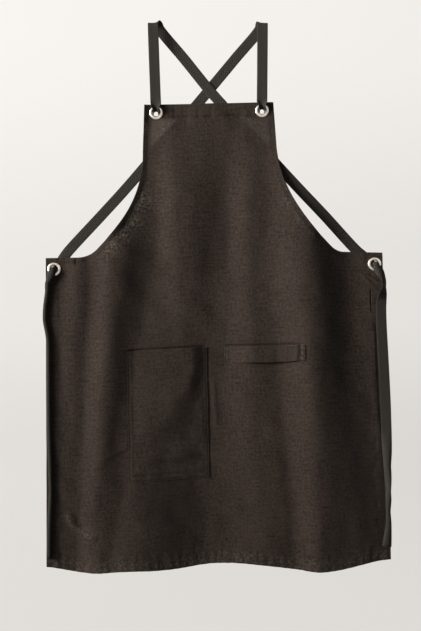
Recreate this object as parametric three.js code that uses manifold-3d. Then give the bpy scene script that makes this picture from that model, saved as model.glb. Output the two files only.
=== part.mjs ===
import * as THREE from "three";
import { mergeVertices } from "three/addons/utils/BufferGeometryUtils.js";
import Module from "manifold-3d";

const wasm = await Module();
wasm.setup();

// A cross-back work apron of dark linen, hanging by its two shoulder straps. Millimetres, +Z up,
// +X to the right as it is looked at, and its front faces -Y. The origin lies midway between the
// two places where the straps go over the rail they hang from, at the height of the rail's top.

// Where the bib hangs, and how far the right side is pulled up
const HANG_TILT = THREE.MathUtils.degToRad(1.25);
const BIB_CENTRE_X = 1.1;
const BIB_TOP_Z = -151.8;

// Thicknesses: one ply of linen, the ply turned over behind at an edge, and how deep that is sewn in
const PLY = 1.3;
const TURNED_PLY = 1.2;
const SEWN_IN = 0.6;
const CLEAR = 0.3;
const SEWN_ON = 0.5;
const CLOTH_FRONT = PLY / 2;
const CLOTH_BACK = -PLY / 2;
const HEM_BACK = CLOTH_BACK - TURNED_PLY;

// Cut of the apron: distances across from its middle and down from the top of the bib
const BIB_HALF = 122.6;
const LENGTH = 873.6;
const FLAP_DROP = { left: 287, right: 290.5 };
const FLAP_HALF = { left: 316.4, right: 323.6 };
const HEM_HALF = 327.4;
const HEM_STEPS = 24;

// Armholes as the control points of two curves, and the way each point moves for the turning behind it
const ARMHOLE = {
  bibSide: { left: 127.3, right: 126.9, drop: 88, inAcross: -1, inDrop: 0.05 },
  hollow: { left: 127, right: 135, drop: 189, inAcross: -0.98, inDrop: 0.45 },
  slope: { left: 217.5, right: 221, drop: 272, inAcross: -0.69, inDrop: 0.72 },
  turn: { left: 235, right: 236, drop: 288, inAcross: -0.41, inDrop: 0.99 },
  flap: { left: 257, right: 252, drop: 287.5, inAcross: 0, inDrop: 1 },
};
const ARMHOLE_SEGMENTS = 9;

// Widths of the turned edges; the corner is the slanted reinforcement behind each top corner of the bib
const RAW_EDGE = { top: 0, corner: 0, arm: 0, side: 0, foot: 0 };
const TURNING = { top: 25, corner: 60, arm: 10, side: 25, foot: 27 };

// Folds of the hanging cloth. Each rises from nothing at "from" to its first height at "full", goes on
// to its second height at "to" and has died away at "gone". Crest, reach and height are given for the
// drops "full" and "to"; left and right are how far the fold reaches to either side of its crest.
const FOLDS = [
  { name: "left edge", from: 262, full: 330, to: 440, gone: 680,
    crest: [-252, -265], left: [33, 32], right: [48, 52], rise: [7.2, 6.6] },
  { name: "left skirt", from: 150, full: 310, to: 880, gone: 2000,
    crest: [-186, -237], left: [52, 38], right: [78, 46], rise: [20.5, 11] },
  { name: "left bib", from: 10, full: 190, to: 330, gone: 540,
    crest: [-66, -55], left: [42, 56], right: [133, 69], rise: [15.7, 9.3] },
  { name: "middle", from: 20, full: 230, to: 880, gone: 2000,
    crest: [76, 81], left: [48, 82], right: [212, 154], rise: [12.8, 11.2] },
  { name: "pocket", from: 340, full: 540, to: 880, gone: 2000,
    crest: [-133, -154], left: [46, 105], right: [138, 160], rise: [8.5, 30] },
  { name: "right skirt", from: 20, full: 250, to: 880, gone: 2000,
    crest: [179, 197.5], left: [82, 57], right: [67, 147], rise: [27.4, 23.3] },
];

// Waves of the hem line, which hangs lower where the cloth is eased forward
const HEM_WAVES = [
  { crest: -255, left: 80, right: 169, dip: 11.7 },
  { crest: -96, left: 91, right: 95, dip: 6.9 },
  { crest: 193, left: 164, right: 138, dip: 16.5 },
];

// Blank of cloth that the panel is cut from
const BLANK = { width: 690, length: 930, above: 12, columns: 46, rows: 20 };
const CUTTER_DEPTH = 300;

// Eyelets: places, then the section of the front half and of the washer
const BIB_EYELET = { across: 100.7, drop: 15.9 };
const SIDE_EYELET = {
  left: { across: -300.7, drop: 308.2 },
  right: { across: 307.9, drop: 311.6 },
};
const EYELET = { hole: 6.5, wall: 0.8, flange: 13, crown: 2.4, roll: 9.2, rollDepth: 1.3, segments: 16 };
const WASHER_THICK = 1;

// How far the corners of the eyelet's section are eased, along its radius and along its axis
const EASED = {
  lip: { radius: 1.2, axis: 1 },
  brow: { radius: 3, axis: 0 },
  rim: { radius: 0.6, axis: 0.9 },
  foot: { radius: 0.4, axis: 0.3 },
  roll: { radius: 0.6, axis: 0.6 },
  washer: { radius: 0.8, axis: 0.4 },
};

// Patch pocket
const POCKET = { left: -166, right: -14, top: 464.5, bottom: 709, lean: 5.5, gape: 9, seam: 11, ease: 42 };
const POCKET_GRID = { columns: 14, rows: 14 };
const POCKET_HEM = { depth: 22, ply: 0.9 };

// Towel loop
const LOOP = { left: 26.3, right: 174.6, top: 461.4, bottom: 491, sag: 2.5, gape: 8.5, seam: 11, ease: 26 };
const LOOP_PLY = 2.2;
const LOOP_GRID = { columns: 14, rows: 3 };

// Strap tape, and how tightly it rolls up to pass through an eyelet
const TAPE = { width: 20, thick: 1.5, columns: 4, stepsPerStation: 2 };
const FULL_CURL = 4.1;
const LEAST_CURL = 0.01;

// Rail radius that the straps are bent over, where the two bights are, and how far each tape shifts
// along the rail as it turns into its slanting back run
const RAIL_RADIUS = 8;
const BIGHT = { left: { x: -104.4, shift: 11 }, right: { x: 102.8, shift: -4.5 } };
const BIGHT_STEPS = 4;
const BIGHT_SWING_FROM = 0.25;

// Strap at a bib eyelet: height above the hole along the strap, distance in front of the cloth, roll
const BIB_LOOP = [
  { rise: 47, forward: 1.9, curl: 0 },
  { rise: 38, forward: 1.5, curl: 0 },
  { rise: 30, forward: 0.6, curl: 0 },
  { rise: 20, forward: -3.1, curl: 0.1 },
  { rise: 13, forward: -6.8, curl: 0.4 },
  { rise: 6, forward: -9.6, curl: 0.85 },
  { rise: 0.6, forward: -6.2, curl: 1 },
  { rise: 0, forward: -0.5, curl: 1 },
  { rise: 0.6, forward: 5.2, curl: 1 },
  { rise: 6, forward: 8.4, curl: 0.85 },
  { rise: 12, forward: 7, curl: 0.45 },
  { rise: 20, forward: 4.7, curl: 0.1 },
  { rise: 30, forward: 3.6, curl: 0 },
  { rise: 47, forward: 4.1, curl: 0 },
];

// Back run of each strap from its bight to the opposite side: distances across, down from the rail and
// behind the cloth's own plane. The strap from the left bight passes in front where the two cross.
const BACK_RUN = {
  left: [
    { x: -46.1, fall: 65.6, behind: 6.4 },
    { x: 2.4, fall: 126, behind: 5 },
    { x: 24.3, fall: 151, behind: 4.7 },
    { x: 165.3, fall: 306.9, behind: 4.2 },
    { x: 219.6, fall: 363.9, behind: 4.2 },
    { x: 283.7, fall: 432.3, behind: 4.6 },
  ],
  right: [
    { x: 51, fall: 65.6, behind: 8.2 },
    { x: 0.9, fall: 126, behind: 7.3 },
    { x: -20, fall: 151, behind: 6.8 },
    { x: -151.1, fall: 306.9, behind: 4.4 },
    { x: -202.8, fall: 363.9, behind: 4.2 },
    { x: -266, fall: 432.3, behind: 4.6 },
  ],
};

// Strap at a side eyelet: distance before the hole along the back run, then beyond it along the tie
const SIDE_LEAD = [
  { reach: 26, forward: -6.4, curl: 0.2 },
  { reach: 14, forward: -9, curl: 0.55 },
  { reach: 5, forward: -10, curl: 0.9 },
  { reach: 0.4, forward: -6, curl: 1 },
  { reach: 0, forward: -0.5, curl: 1 },
];
const SIDE_LAY = [
  { reach: 0.4, forward: 5.2, curl: 1 },
  { reach: 5, forward: 9, curl: 0.9 },
  { reach: 12, forward: 9.2, curl: 0.55 },
];

// Free tie ends, named for the side they hang at: how far below the hole and outwards from it, how far
// in front of the cloth, how far the tape is turned edge-on in degrees, and its roll
const TIE = {
  left: [
    { below: 26.6, out: 8.6, stand: 8, turn: 30, curl: 0.75 },
    { below: 43.7, out: 11.9, stand: 6.2, turn: 20, curl: 1.25 },
    { below: 72.2, out: 14.9, stand: 6.2, turn: 15, curl: 0.95 },
    { below: 105, out: 11.2, stand: 6, turn: 20, curl: 1.4 },
    { below: 144.4, out: 11.7, stand: 6, turn: 20, curl: 1.3 },
    { below: 201.4, out: 10.2, stand: 6, turn: 20, curl: 1.15 },
    { below: 286.9, out: 8.6, stand: 6.2, turn: 15, curl: 1.05 },
    { below: 372.4, out: 6.7, stand: 6.2, turn: 15, curl: 1.05 },
    { below: 429.4, out: 5.4, stand: 6, turn: 20, curl: 1.35 },
    { below: 486, out: 5.2, stand: 6, turn: 20, curl: 1.4 },
    { below: 549.1, out: 5, stand: 6.2, turn: 20, curl: 1.15 },
  ],
  right: [
    { below: 26.6, out: 16.5, stand: 7.6, turn: 20, curl: 1 },
    { below: 44.1, out: 19.6, stand: 6.3, turn: 15, curl: 1.2 },
    { below: 72, out: 18.2, stand: 6.3, turn: 15, curl: 1.15 },
    { below: 105, out: 17.2, stand: 6.6, turn: 15, curl: 0.8 },
    { below: 154.3, out: 17.2, stand: 6.8, turn: 12, curl: 0.45 },
    { below: 211.3, out: 18.2, stand: 6.8, turn: 10, curl: 0.2 },
    { below: 268.3, out: 20.6, stand: 6.6, turn: 8, curl: 0 },
    { below: 311, out: 22.8, stand: 6.8, turn: 10, curl: 0 },
    { below: 353.8, out: 23.8, stand: 7.6, turn: 25, curl: 0.35 },
    { below: 384, out: 24.2, stand: 8.8, turn: 40, curl: 0.6 },
    { below: 431, out: 24.6, stand: 11.8, turn: 78, curl: 0.2 },
    { below: 470, out: 25.6, stand: 11, turn: 62, curl: 0.1 },
    { below: 500, out: 26, stand: 9.6, turn: 45, curl: 0 },
    { below: 536.2, out: 21.6, stand: 7.8, turn: 25, curl: 0 },
  ],
};

const linen = new THREE.MeshStandardMaterial({ color: 0x382f28, roughness: 0.92, metalness: 0 });
const tape = new THREE.MeshStandardMaterial({ color: 0x2f2f25, roughness: 0.9, metalness: 0 });
const nickel = new THREE.MeshStandardMaterial({ color: 0xbfb8ae, roughness: 0.32, metalness: 1 });

// Which side of a box is the cloth's back, and how many corners its squares have when split in two
const BOX_BACK = 2;
const QUAD_CORNERS = 6;

const lerp = THREE.MathUtils.lerp;
const smooth = THREE.MathUtils.smoothstep;

// One soft wave: 1 at its crest, falling to 0 at its reach on either side
function swell(away, left, right) {
  const within = Math.min(Math.abs(away) / (away < 0 ? left : right), 1);
  return 0.5 + 0.5 * Math.cos(Math.PI * within);
}

// Distance that the folds bring the cloth forward at a place on it
function foldAt(across, drop) {
  return FOLDS.reduce((sum, f) => {
    const down = THREE.MathUtils.clamp((drop - f.full) / (f.to - f.full), 0, 1);
    const [crest, left, right] = [f.crest, f.left, f.right].map((pair) => lerp(...pair, down));
    const height = lerp(...f.rise, down * down);
    const shown = smooth(drop, f.from, f.full) * (1 - smooth(drop, f.to, f.gone));
    return sum + height * shown * swell(across - crest, left, right);
  }, 0);
}

function hemDrop(across) {
  return HEM_WAVES.reduce((sum, w) => sum + w.dip * swell(across - w.crest, w.left, w.right), LENGTH);
}

// Closed slab of cloth on a grid, bent by a function of its share across, its share down and its face.
// The squares of its back are split along the same diagonal as those of its front, so that it stays even.
function bentCloth(columns, rows, place) {
  const flat = new THREE.BoxGeometry(1, 1, 1, columns, 1, rows);
  const back = flat.groups[BOX_BACK];
  const corner = flat.index.array;
  for (let i = back.start; i < back.start + back.count; i += QUAD_CORNERS) {
    const [a, b, d, , c] = corner.slice(i, i + QUAD_CORNERS);
    corner.set([a, b, c, a, c, d], i);
  }
  flat.deleteAttribute("normal");
  flat.deleteAttribute("uv");
  const cloth = mergeVertices(flat);
  const at = cloth.getAttribute("position");
  for (let i = 0; i < at.count; i++) {
    const bent = place(at.getX(i) + 0.5, 0.5 - at.getZ(i), at.getY(i) < 0);
    at.setXYZ(i, bent.x, bent.y, bent.z);
  }
  return cloth;
}

function solidOf(geometry) {
  const bare = geometry.clone();
  bare.deleteAttribute("normal");
  bare.deleteAttribute("uv");
  const merged = mergeVertices(bare);
  return new wasm.Manifold(
    new wasm.Mesh({
      numProp: 3,
      vertProperties: merged.getAttribute("position").array,
      triVerts: new Uint32Array(merged.index.array),
    }),
  );
}

function geometryOf(solid) {
  const mesh = solid.getMesh();
  const geometry = new THREE.BufferGeometry();
  geometry.setAttribute("position", new THREE.BufferAttribute(mesh.vertProperties, 3));
  geometry.setIndex(new THREE.BufferAttribute(mesh.triVerts, 1));
  return geometry;
}

function piece(name, geometry, material, parent) {
  geometry.computeVertexNormals();
  const mesh = new THREE.Mesh(geometry, material.clone());
  mesh.name = name;
  parent.add(mesh);
}

// Outline of the cut cloth, or the inner line of its turned edges, as a prism through the cloth
function outlinePrism(edge) {
  const control = (key, side) => {
    const p = ARMHOLE[key];
    const across = p[side] + edge.arm * p.inAcross;
    return [side === "left" ? -across : across, -(p.drop + edge.arm * p.inDrop)];
  };
  const topHalf = BIB_HALF - edge.corner;
  const hemHalf = HEM_HALF - edge.side;
  const shape = new THREE.Shape();
  shape.moveTo(-topHalf, -edge.top);
  shape.lineTo(topHalf, -edge.top);
  shape.lineTo(...control("bibSide", "right"));
  shape.quadraticCurveTo(...control("hollow", "right"), ...control("slope", "right"));
  shape.quadraticCurveTo(...control("turn", "right"), ...control("flap", "right"));
  shape.lineTo(FLAP_HALF.right - edge.side, -(FLAP_DROP.right + edge.arm));
  for (let i = 0; i <= HEM_STEPS; i++) {
    const across = lerp(hemHalf, -hemHalf, i / HEM_STEPS);
    shape.lineTo(across, edge.foot - hemDrop(across));
  }
  shape.lineTo(-(FLAP_HALF.left - edge.side), -(FLAP_DROP.left + edge.arm));
  shape.lineTo(...control("flap", "left"));
  shape.quadraticCurveTo(...control("turn", "left"), ...control("slope", "left"));
  shape.quadraticCurveTo(...control("hollow", "left"), ...control("bibSide", "left"));
  const prism = new THREE.ExtrudeGeometry(shape, {
    depth: CUTTER_DEPTH,
    bevelEnabled: false,
    curveSegments: ARMHOLE_SEGMENTS,
  });
  prism.translate(0, 0, -CUTTER_DEPTH / 2);
  return solidOf(prism.rotateX(Math.PI / 2));
}

// The whole blank, bent to the folds, between two depths measured forward of the cloth's middle
function blankSlab(back, front) {
  return solidOf(
    bentCloth(BLANK.columns, BLANK.rows, (u, v, isFront) => {
      const across = (u - 0.5) * BLANK.width;
      const drop = v * BLANK.length - BLANK.above;
      const forward = foldAt(across, drop) + (isFront ? front : back);
      return { x: across, y: -forward, z: -drop };
    }),
  );
}

const EYELETS = [
  { name: "bib_left", across: -BIB_EYELET.across, drop: BIB_EYELET.drop },
  { name: "bib_right", across: BIB_EYELET.across, drop: BIB_EYELET.drop },
  { name: "side_left", ...SIDE_EYELET.left },
  { name: "side_right", ...SIDE_EYELET.right },
];
const BARREL = EYELET.hole + EYELET.wall;

// Bib and skirt: one ply, a second ply where the edges are turned over behind, and four eyelet holes
function apronPanel() {
  const turned = blankSlab(HEM_BACK, CLOTH_BACK + SEWN_IN).subtract(outlinePrism(TURNING));
  const cloth = blankSlab(CLOTH_BACK, CLOTH_FRONT).add(turned).intersect(outlinePrism(RAW_EDGE));
  return EYELETS.reduce((panel, e) => {
    const punch = new THREE.CylinderGeometry(BARREL + CLEAR, BARREL + CLEAR, CUTTER_DEPTH, EYELET.segments);
    return panel.subtract(solidOf(punch.translate(e.across, 0, -e.drop)));
  }, cloth);
}

// Height that a sewn-on piece stands off the panel, rising with the distance from a sewn edge
function standOff(fit, distances) {
  return distances.reduce((h, d) => h * smooth(d, fit.seam, fit.seam + fit.ease), fit.gape);
}

// Patch pocket: sewn at both sides and the bottom, standing open at the top, with a turned top edge
function pocketCloth() {
  const width = POCKET.right - POCKET.left;
  const height = POCKET.bottom - POCKET.top;
  return bentCloth(POCKET_GRID.columns, POCKET_GRID.rows, (u, v, isFront) => {
    const across = POCKET.left + u * width;
    const drop = POCKET.top + v * height + (0.5 - u) * POCKET.lean;
    const open = standOff(POCKET, [u * width, (1 - u) * width, (1 - v) * height]);
    const ply = PLY + (v * height < POCKET_HEM.depth ? POCKET_HEM.ply : 0);
    const forward = foldAt(across, drop) + CLOTH_FRONT + SEWN_ON + open + (isFront ? ply : 0);
    return { x: across, y: -forward, z: -drop };
  });
}

// Towel loop: a folded band sewn down at its two ends and bowing forward and down between them
function loopCloth() {
  const width = LOOP.right - LOOP.left;
  const height = LOOP.bottom - LOOP.top;
  return bentCloth(LOOP_GRID.columns, LOOP_GRID.rows, (u, v, isFront) => {
    const across = LOOP.left + u * width;
    const drop = LOOP.top + v * height + v * LOOP.sag * Math.sin(Math.PI * u);
    const open = standOff(LOOP, [u * width, (1 - u) * width]);
    const forward = foldAt(across, drop) + CLOTH_FRONT + SEWN_ON + open + (isFront ? LOOP_PLY : 0);
    return { x: across, y: -forward, z: -drop };
  });
}

// Ring turned from a closed section given as radius and distance forward of the cloth's middle
function turnedRing(section) {
  const points = section.map(([radius, forward]) => new THREE.Vector2(radius, -forward));
  return new THREE.LatheGeometry([...points, points[0]], EYELET.segments);
}

// Front half of an eyelet: crowned flange, barrel through the cloth, and the barrel rolled out behind
function eyeletRing() {
  const seat = CLOTH_FRONT + CLEAR;
  const washerBack = HEM_BACK - CLEAR - WASHER_THICK;
  const rollTop = washerBack - CLEAR;
  const rollEnd = rollTop - EYELET.rollDepth;
  const crown = CLOTH_FRONT + EYELET.crown;
  return turnedRing([
    [EYELET.hole, crown - EASED.lip.axis],
    [EYELET.hole + EASED.lip.radius, crown],
    [EYELET.flange - EASED.brow.radius, crown],
    [EYELET.flange - EASED.rim.radius, crown - EASED.rim.axis],
    [EYELET.flange, seat + EASED.foot.axis],
    [EYELET.flange - EASED.foot.radius, seat],
    [BARREL, seat],
    [BARREL, rollTop],
    [EYELET.roll, rollTop],
    [EYELET.roll - EASED.roll.radius, rollEnd],
    [EYELET.hole + EASED.roll.radius, rollEnd],
    [EYELET.hole, rollEnd + EASED.roll.axis],
  ]);
}

// Washer behind the cloth, under the rolled barrel
function eyeletWasher() {
  const front = HEM_BACK - CLEAR;
  const back = front - WASHER_THICK;
  return turnedRing([
    [BARREL + CLEAR, front],
    [EYELET.flange - EASED.foot.radius, front],
    [EYELET.flange, front - EASED.washer.axis],
    [EYELET.flange - EASED.washer.radius, back],
    [BARREL + CLEAR, back],
  ]);
}

const apron = new THREE.Group();
apron.position.set(BIB_CENTRE_X, 0, BIB_TOP_Z);
apron.rotation.y = -HANG_TILT;
apron.updateMatrixWorld();

// A place on the hanging cloth, given across, down and forward of its plane
function onApron(across, drop, forward) {
  return apron.localToWorld(new THREE.Vector3(across, -forward, -drop));
}

const inFront = (point, forward) => new THREE.Vector3(point.x, -forward, point.z);
const acrossFrom = (run) => new THREE.Vector3(-run.z, 0, run.x).normalize();

// Stations of one strap from its sewn end to the tip of its tie: place, width direction and roll
function strapStations(from, to) {
  const outward = to === "right" ? 1 : -1;
  const flat = new THREE.Vector3(1, 0, 0);
  const bibHole = onApron(from === "left" ? -BIB_EYELET.across : BIB_EYELET.across, BIB_EYELET.drop, 0);
  const sideHole = onApron(SIDE_EYELET[to].across, SIDE_EYELET[to].drop, 0);
  const bight = new THREE.Vector3(BIGHT[from].x, 0, 0);
  const up = bight.clone().sub(bibHole).setY(0).normalize();
  const stations = BIB_LOOP.map((s) => ({
    at: inFront(bibHole.clone().addScaledVector(up, s.rise), s.forward),
    wide: flat,
    curl: s.curl,
  }));
  const bend = RAIL_RADIUS + TAPE.thick / 2;
  const backRun = BACK_RUN[from].map((s) => new THREE.Vector3(s.x, s.behind, -s.fall));
  const slant = backRun[0].clone().sub(bight).setY(0).normalize();
  for (let i = 0; i <= BIGHT_STEPS; i++) {
    const round = i / BIGHT_STEPS;
    const angle = Math.PI * round;
    const swing = smooth(round, BIGHT_SWING_FROM, 1);
    const x = bight.x + BIGHT[from].shift * swing;
    const at = new THREE.Vector3(x, -bend * Math.cos(angle), bend * Math.sin(angle) - RAIL_RADIUS);
    stations.push({ at, wide: flat.clone().lerp(acrossFrom(slant), swing), curl: 0 });
  }
  const lead = sideHole.clone().sub(backRun[backRun.length - 1]).setY(0).normalize();
  const route = [bight, ...backRun, sideHole];
  backRun.forEach((at, i) => {
    stations.push({ at, wide: acrossFrom(route[i + 2].clone().sub(route[i]).setY(0)), curl: 0 });
  });
  SIDE_LEAD.forEach((s) => {
    const at = inFront(sideHole.clone().addScaledVector(lead, -s.reach), s.forward);
    stations.push({ at, wide: acrossFrom(lead), curl: s.curl });
  });
  const first = TIE[to][0];
  const lay = new THREE.Vector3(outward * first.out, 0, -first.below).normalize();
  SIDE_LAY.forEach((s) => {
    const at = inFront(sideHole.clone().addScaledVector(lay, s.reach), s.forward);
    stations.push({ at, wide: acrossFrom(lay), curl: s.curl });
  });
  TIE[to].forEach((s) => {
    const on = new THREE.Vector3(sideHole.x + outward * s.out, 0, sideHole.z - s.below);
    const local = apron.worldToLocal(on.clone());
    const turn = THREE.MathUtils.degToRad(s.turn);
    stations.push({
      at: inFront(on, foldAt(local.x, -local.z) + s.stand),
      wide: new THREE.Vector3(Math.cos(turn), -Math.sin(turn), 0),
      curl: s.curl,
    });
  });
  return stations;
}

// Tape swept through its stations; where it is rolled, its width follows an arc instead of a line
function strapTape(from, to) {
  const stations = strapStations(from, to);
  const spans = stations.length - 1;
  const path = new THREE.CatmullRomCurve3(stations.map((s) => s.at), false, "centripetal");
  const steps = spans * TAPE.stepsPerStation;
  return bentCloth(TAPE.columns, steps, (u, v, isFront) => {
    const along = Math.round(v * steps) / TAPE.stepsPerStation;
    const span = Math.min(Math.floor(along), spans - 1);
    const share = along - span;
    const run = path.getTangent(v);
    const wide = stations[span].wide.clone().lerp(stations[span + 1].wide, share);
    wide.addScaledVector(run, -wide.dot(run)).normalize();
    const face = run.clone().cross(wide);
    const curl = Math.max(lerp(stations[span].curl, stations[span + 1].curl, share), LEAST_CURL) * FULL_CURL;
    const radius = TAPE.width / curl;
    const angle = (u - 0.5) * curl;
    const hollow = radius * (1 - Math.cos(curl / 2));
    const skin = isFront ? TAPE.thick / 2 : -TAPE.thick / 2;
    const at = path.getPoint(v);
    at.addScaledVector(wide, (radius + skin) * Math.sin(angle));
    return at.addScaledVector(face, (radius + skin) * Math.cos(angle) - radius + hollow / 2);
  });
}

piece("apron_panel", geometryOf(apronPanel()), linen, apron);
piece("pocket", pocketCloth(), linen, apron);
piece("towel_loop", loopCloth(), linen, apron);
EYELETS.forEach((e) => {
  const set = new THREE.Group();
  set.position.set(e.across, 0, -e.drop);
  piece(`ring_${e.name}`, eyeletRing(), nickel, set);
  piece(`washer_${e.name}`, eyeletWasher(), nickel, set);
  apron.add(set);
});

const group = new THREE.Group();
group.add(apron);
piece("strap_left", strapTape("left", "right"), tape, group);
piece("strap_right", strapTape("right", "left"), tape, group);

export default group;
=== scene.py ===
import math
import random

import bmesh
import bpy
import numpy as np
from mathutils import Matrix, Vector
from mathutils.geometry import delaunay_2d_cdt


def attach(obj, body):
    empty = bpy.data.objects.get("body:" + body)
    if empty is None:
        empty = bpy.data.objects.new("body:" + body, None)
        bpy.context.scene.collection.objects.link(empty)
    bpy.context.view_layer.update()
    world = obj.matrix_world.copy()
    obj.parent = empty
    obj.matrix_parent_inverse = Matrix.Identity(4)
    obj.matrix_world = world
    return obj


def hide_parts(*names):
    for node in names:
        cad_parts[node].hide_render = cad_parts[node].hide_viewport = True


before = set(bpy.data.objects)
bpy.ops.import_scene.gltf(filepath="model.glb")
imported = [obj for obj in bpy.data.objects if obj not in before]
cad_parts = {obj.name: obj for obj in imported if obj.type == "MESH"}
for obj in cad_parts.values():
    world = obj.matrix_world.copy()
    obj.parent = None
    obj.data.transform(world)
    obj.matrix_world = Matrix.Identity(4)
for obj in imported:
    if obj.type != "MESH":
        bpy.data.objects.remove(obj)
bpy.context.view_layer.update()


# Bib and skirt. One cut of heavy charcoal linen that falls in a few soft folds. Its edges are turned to the
# back and sewn down, and the top corners of the bib are backed with a slanted piece of the same cloth for
# the eyelets. Places on it are given across from its middle and down from its top edge.
HANG_TILT = math.radians(1.25)
BIB_MIDDLE_X = 0.0011
BIB_TOP_Z = -0.1518
LINEN_PLY = 0.0010
TURNED_PLY = 0.0009
BIB_HALF = 0.1226
LENGTH = 0.8736
FLAP_DROP = {"left": 0.287, "right": 0.2905}
FLAP_HALF = {"left": 0.3164, "right": 0.3236}
HEM_HALF = 0.3274
HEM_POINTS = 81
SIDES = {"left": -1, "right": 1}

# Armholes as the control points of two curves on each side
CURVE_POINTS = 25
ARMHOLE = [
    {"left": 0.1273, "right": 0.1269, "drop": 0.088},
    {"left": 0.1270, "right": 0.1350, "drop": 0.189},
    {"left": 0.2175, "right": 0.2210, "drop": 0.272},
    {"left": 0.2350, "right": 0.2360, "drop": 0.288},
    {"left": 0.2570, "right": 0.2520, "drop": 0.2875},
]

# Widths of the turned edges, the slant of the corner backing, and where the seam lies in a turning
TURNING = {"top": 0.025, "arm": 0.010, "side": 0.025, "foot": 0.027}
CORNER_BACKING = {"along_top": 0.066, "down_side": 0.088}
CORNER_SLANT = np.array([[BIB_HALF - CORNER_BACKING["along_top"], TURNING["top"]],
                         [ARMHOLE[0]["left"] - TURNING["arm"], CORNER_BACKING["down_side"]]])
SEAM_IN = 0.0012
TOP_SEAM_SHORT = 0.0015

# Relief of a turned edge: the groove of its seam on either face, the reach of the puckers beside it, the
# step at the edge of the second ply, and how that ply shows through to the front
SEAM_RELIEF = {"half": 0.0011, "front": 0.00028, "back": 0.0002, "puckers": 0.009}
PLY_STEP = 0.0007
SHOWN_PLY = {"inside": 0.001, "beyond": 0.0025, "height": 0.0003}

EYELETS = [
    {"name": "bib_left", "across": -0.1007, "drop": 0.0159},
    {"name": "bib_right", "across": 0.1007, "drop": 0.0159},
    {"name": "side_left", "across": -0.3007, "drop": 0.3082},
    {"name": "side_right", "across": 0.3079, "drop": 0.3116},
]
EYELET_PUNCH = 0.0076

# Round an eyelet the cloth is held flat: distances where rumples and the curled edge begin and are whole
EYELET_FLAT = {"rumples": (0.014, 0.045), "curl": (0.0135, 0.024)}

# Folds: each rises from nothing at "from" to its first height at "full", goes on to its second height
# at "to" and has died away at "gone". Crest, reach to either side and height are for "full" and "to".
FOLDS = [
    {"name": "left edge", "from": 0.262, "full": 0.33, "to": 0.44, "gone": 0.68,
     "crest": (-0.252, -0.265), "left": (0.033, 0.032), "right": (0.048, 0.052), "rise": (0.0072, 0.0066)},
    {"name": "left skirt", "from": 0.15, "full": 0.31, "to": 0.88, "gone": 2.0,
     "crest": (-0.186, -0.237), "left": (0.052, 0.038), "right": (0.078, 0.046), "rise": (0.0205, 0.0110)},
    {"name": "left bib", "from": 0.01, "full": 0.19, "to": 0.33, "gone": 0.54,
     "crest": (-0.066, -0.055), "left": (0.042, 0.056), "right": (0.133, 0.069), "rise": (0.0157, 0.0093)},
    {"name": "middle", "from": 0.02, "full": 0.23, "to": 0.88, "gone": 2.0,
     "crest": (0.076, 0.081), "left": (0.048, 0.082), "right": (0.212, 0.154), "rise": (0.0128, 0.0112)},
    {"name": "pocket", "from": 0.34, "full": 0.54, "to": 0.88, "gone": 2.0,
     "crest": (-0.133, -0.164), "left": (0.046, 0.097), "right": (0.138, 0.152), "rise": (0.0085, 0.0300)},
    {"name": "right skirt", "from": 0.02, "full": 0.25, "to": 0.88, "gone": 2.0,
     "crest": (0.179, 0.1975), "left": (0.082, 0.057), "right": (0.067, 0.147), "rise": (0.0274, 0.0233)},
]

# The hem hangs lower where the cloth is eased forward
HEM_WAVES = [
    {"crest": -0.255, "left": 0.080, "right": 0.169, "dip": 0.0117},
    {"crest": -0.096, "left": 0.091, "right": 0.095, "dip": 0.0069},
    {"crest": 0.193, "left": 0.164, "right": 0.138, "dip": 0.0165},
]

# Soft rumples left in the cloth: waves of a fixed random set, longest first
rumple_dice = random.Random(7)
RUMPLE_STEEPNESS = 0.0042
RUMPLES = [
    {"turn": rumple_dice.uniform(-0.9, 0.9), "length": length, "phase": rumple_dice.uniform(0, 6.28),
     "height": RUMPLE_STEEPNESS * length}
    for length in (0.120, 0.098, 0.083, 0.071, 0.060, 0.052, 0.045, 0.038, 0.033)
]
PUCKERS = [
    {"turn": rumple_dice.uniform(0, 6.28), "length": length, "phase": rumple_dice.uniform(0, 6.28)}
    for length in (0.017, 0.021, 0.026, 0.031)
]
PUCKER_HEIGHT = 0.00022
EDGE_CURL = {"height": 0.0040, "reach": 0.015, "full": 0.22, "gone": 0.285}
HEM_PUCKER = {"length": 0.0165, "wander": 0.071, "sway": 1.6, "height": 0.0005,
              "full": 0.018, "gone": 0.036}

# Where the pocket and the towel loop are sewn on; the cloth sinks a little behind their open tops and is
# drawn in along their sewn edges
PATCHES = {
    "pocket": {"left": -0.166, "right": -0.014, "top": 0.4645, "bottom": 0.7125, "lean": 0.0055},
    "loop": {"left": 0.0195, "right": 0.1708, "top": 0.4614, "bottom": 0.4910, "lean": 0.0},
}
MOUTH_SINK = {"depth": 0.0032, "above": 0.0044, "held": 0.008, "gone": 0.026, "ends": (0.001, 0.007)}
SEWN_GROOVE = {"depth": 0.0004, "reach": 0.0013}

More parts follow.
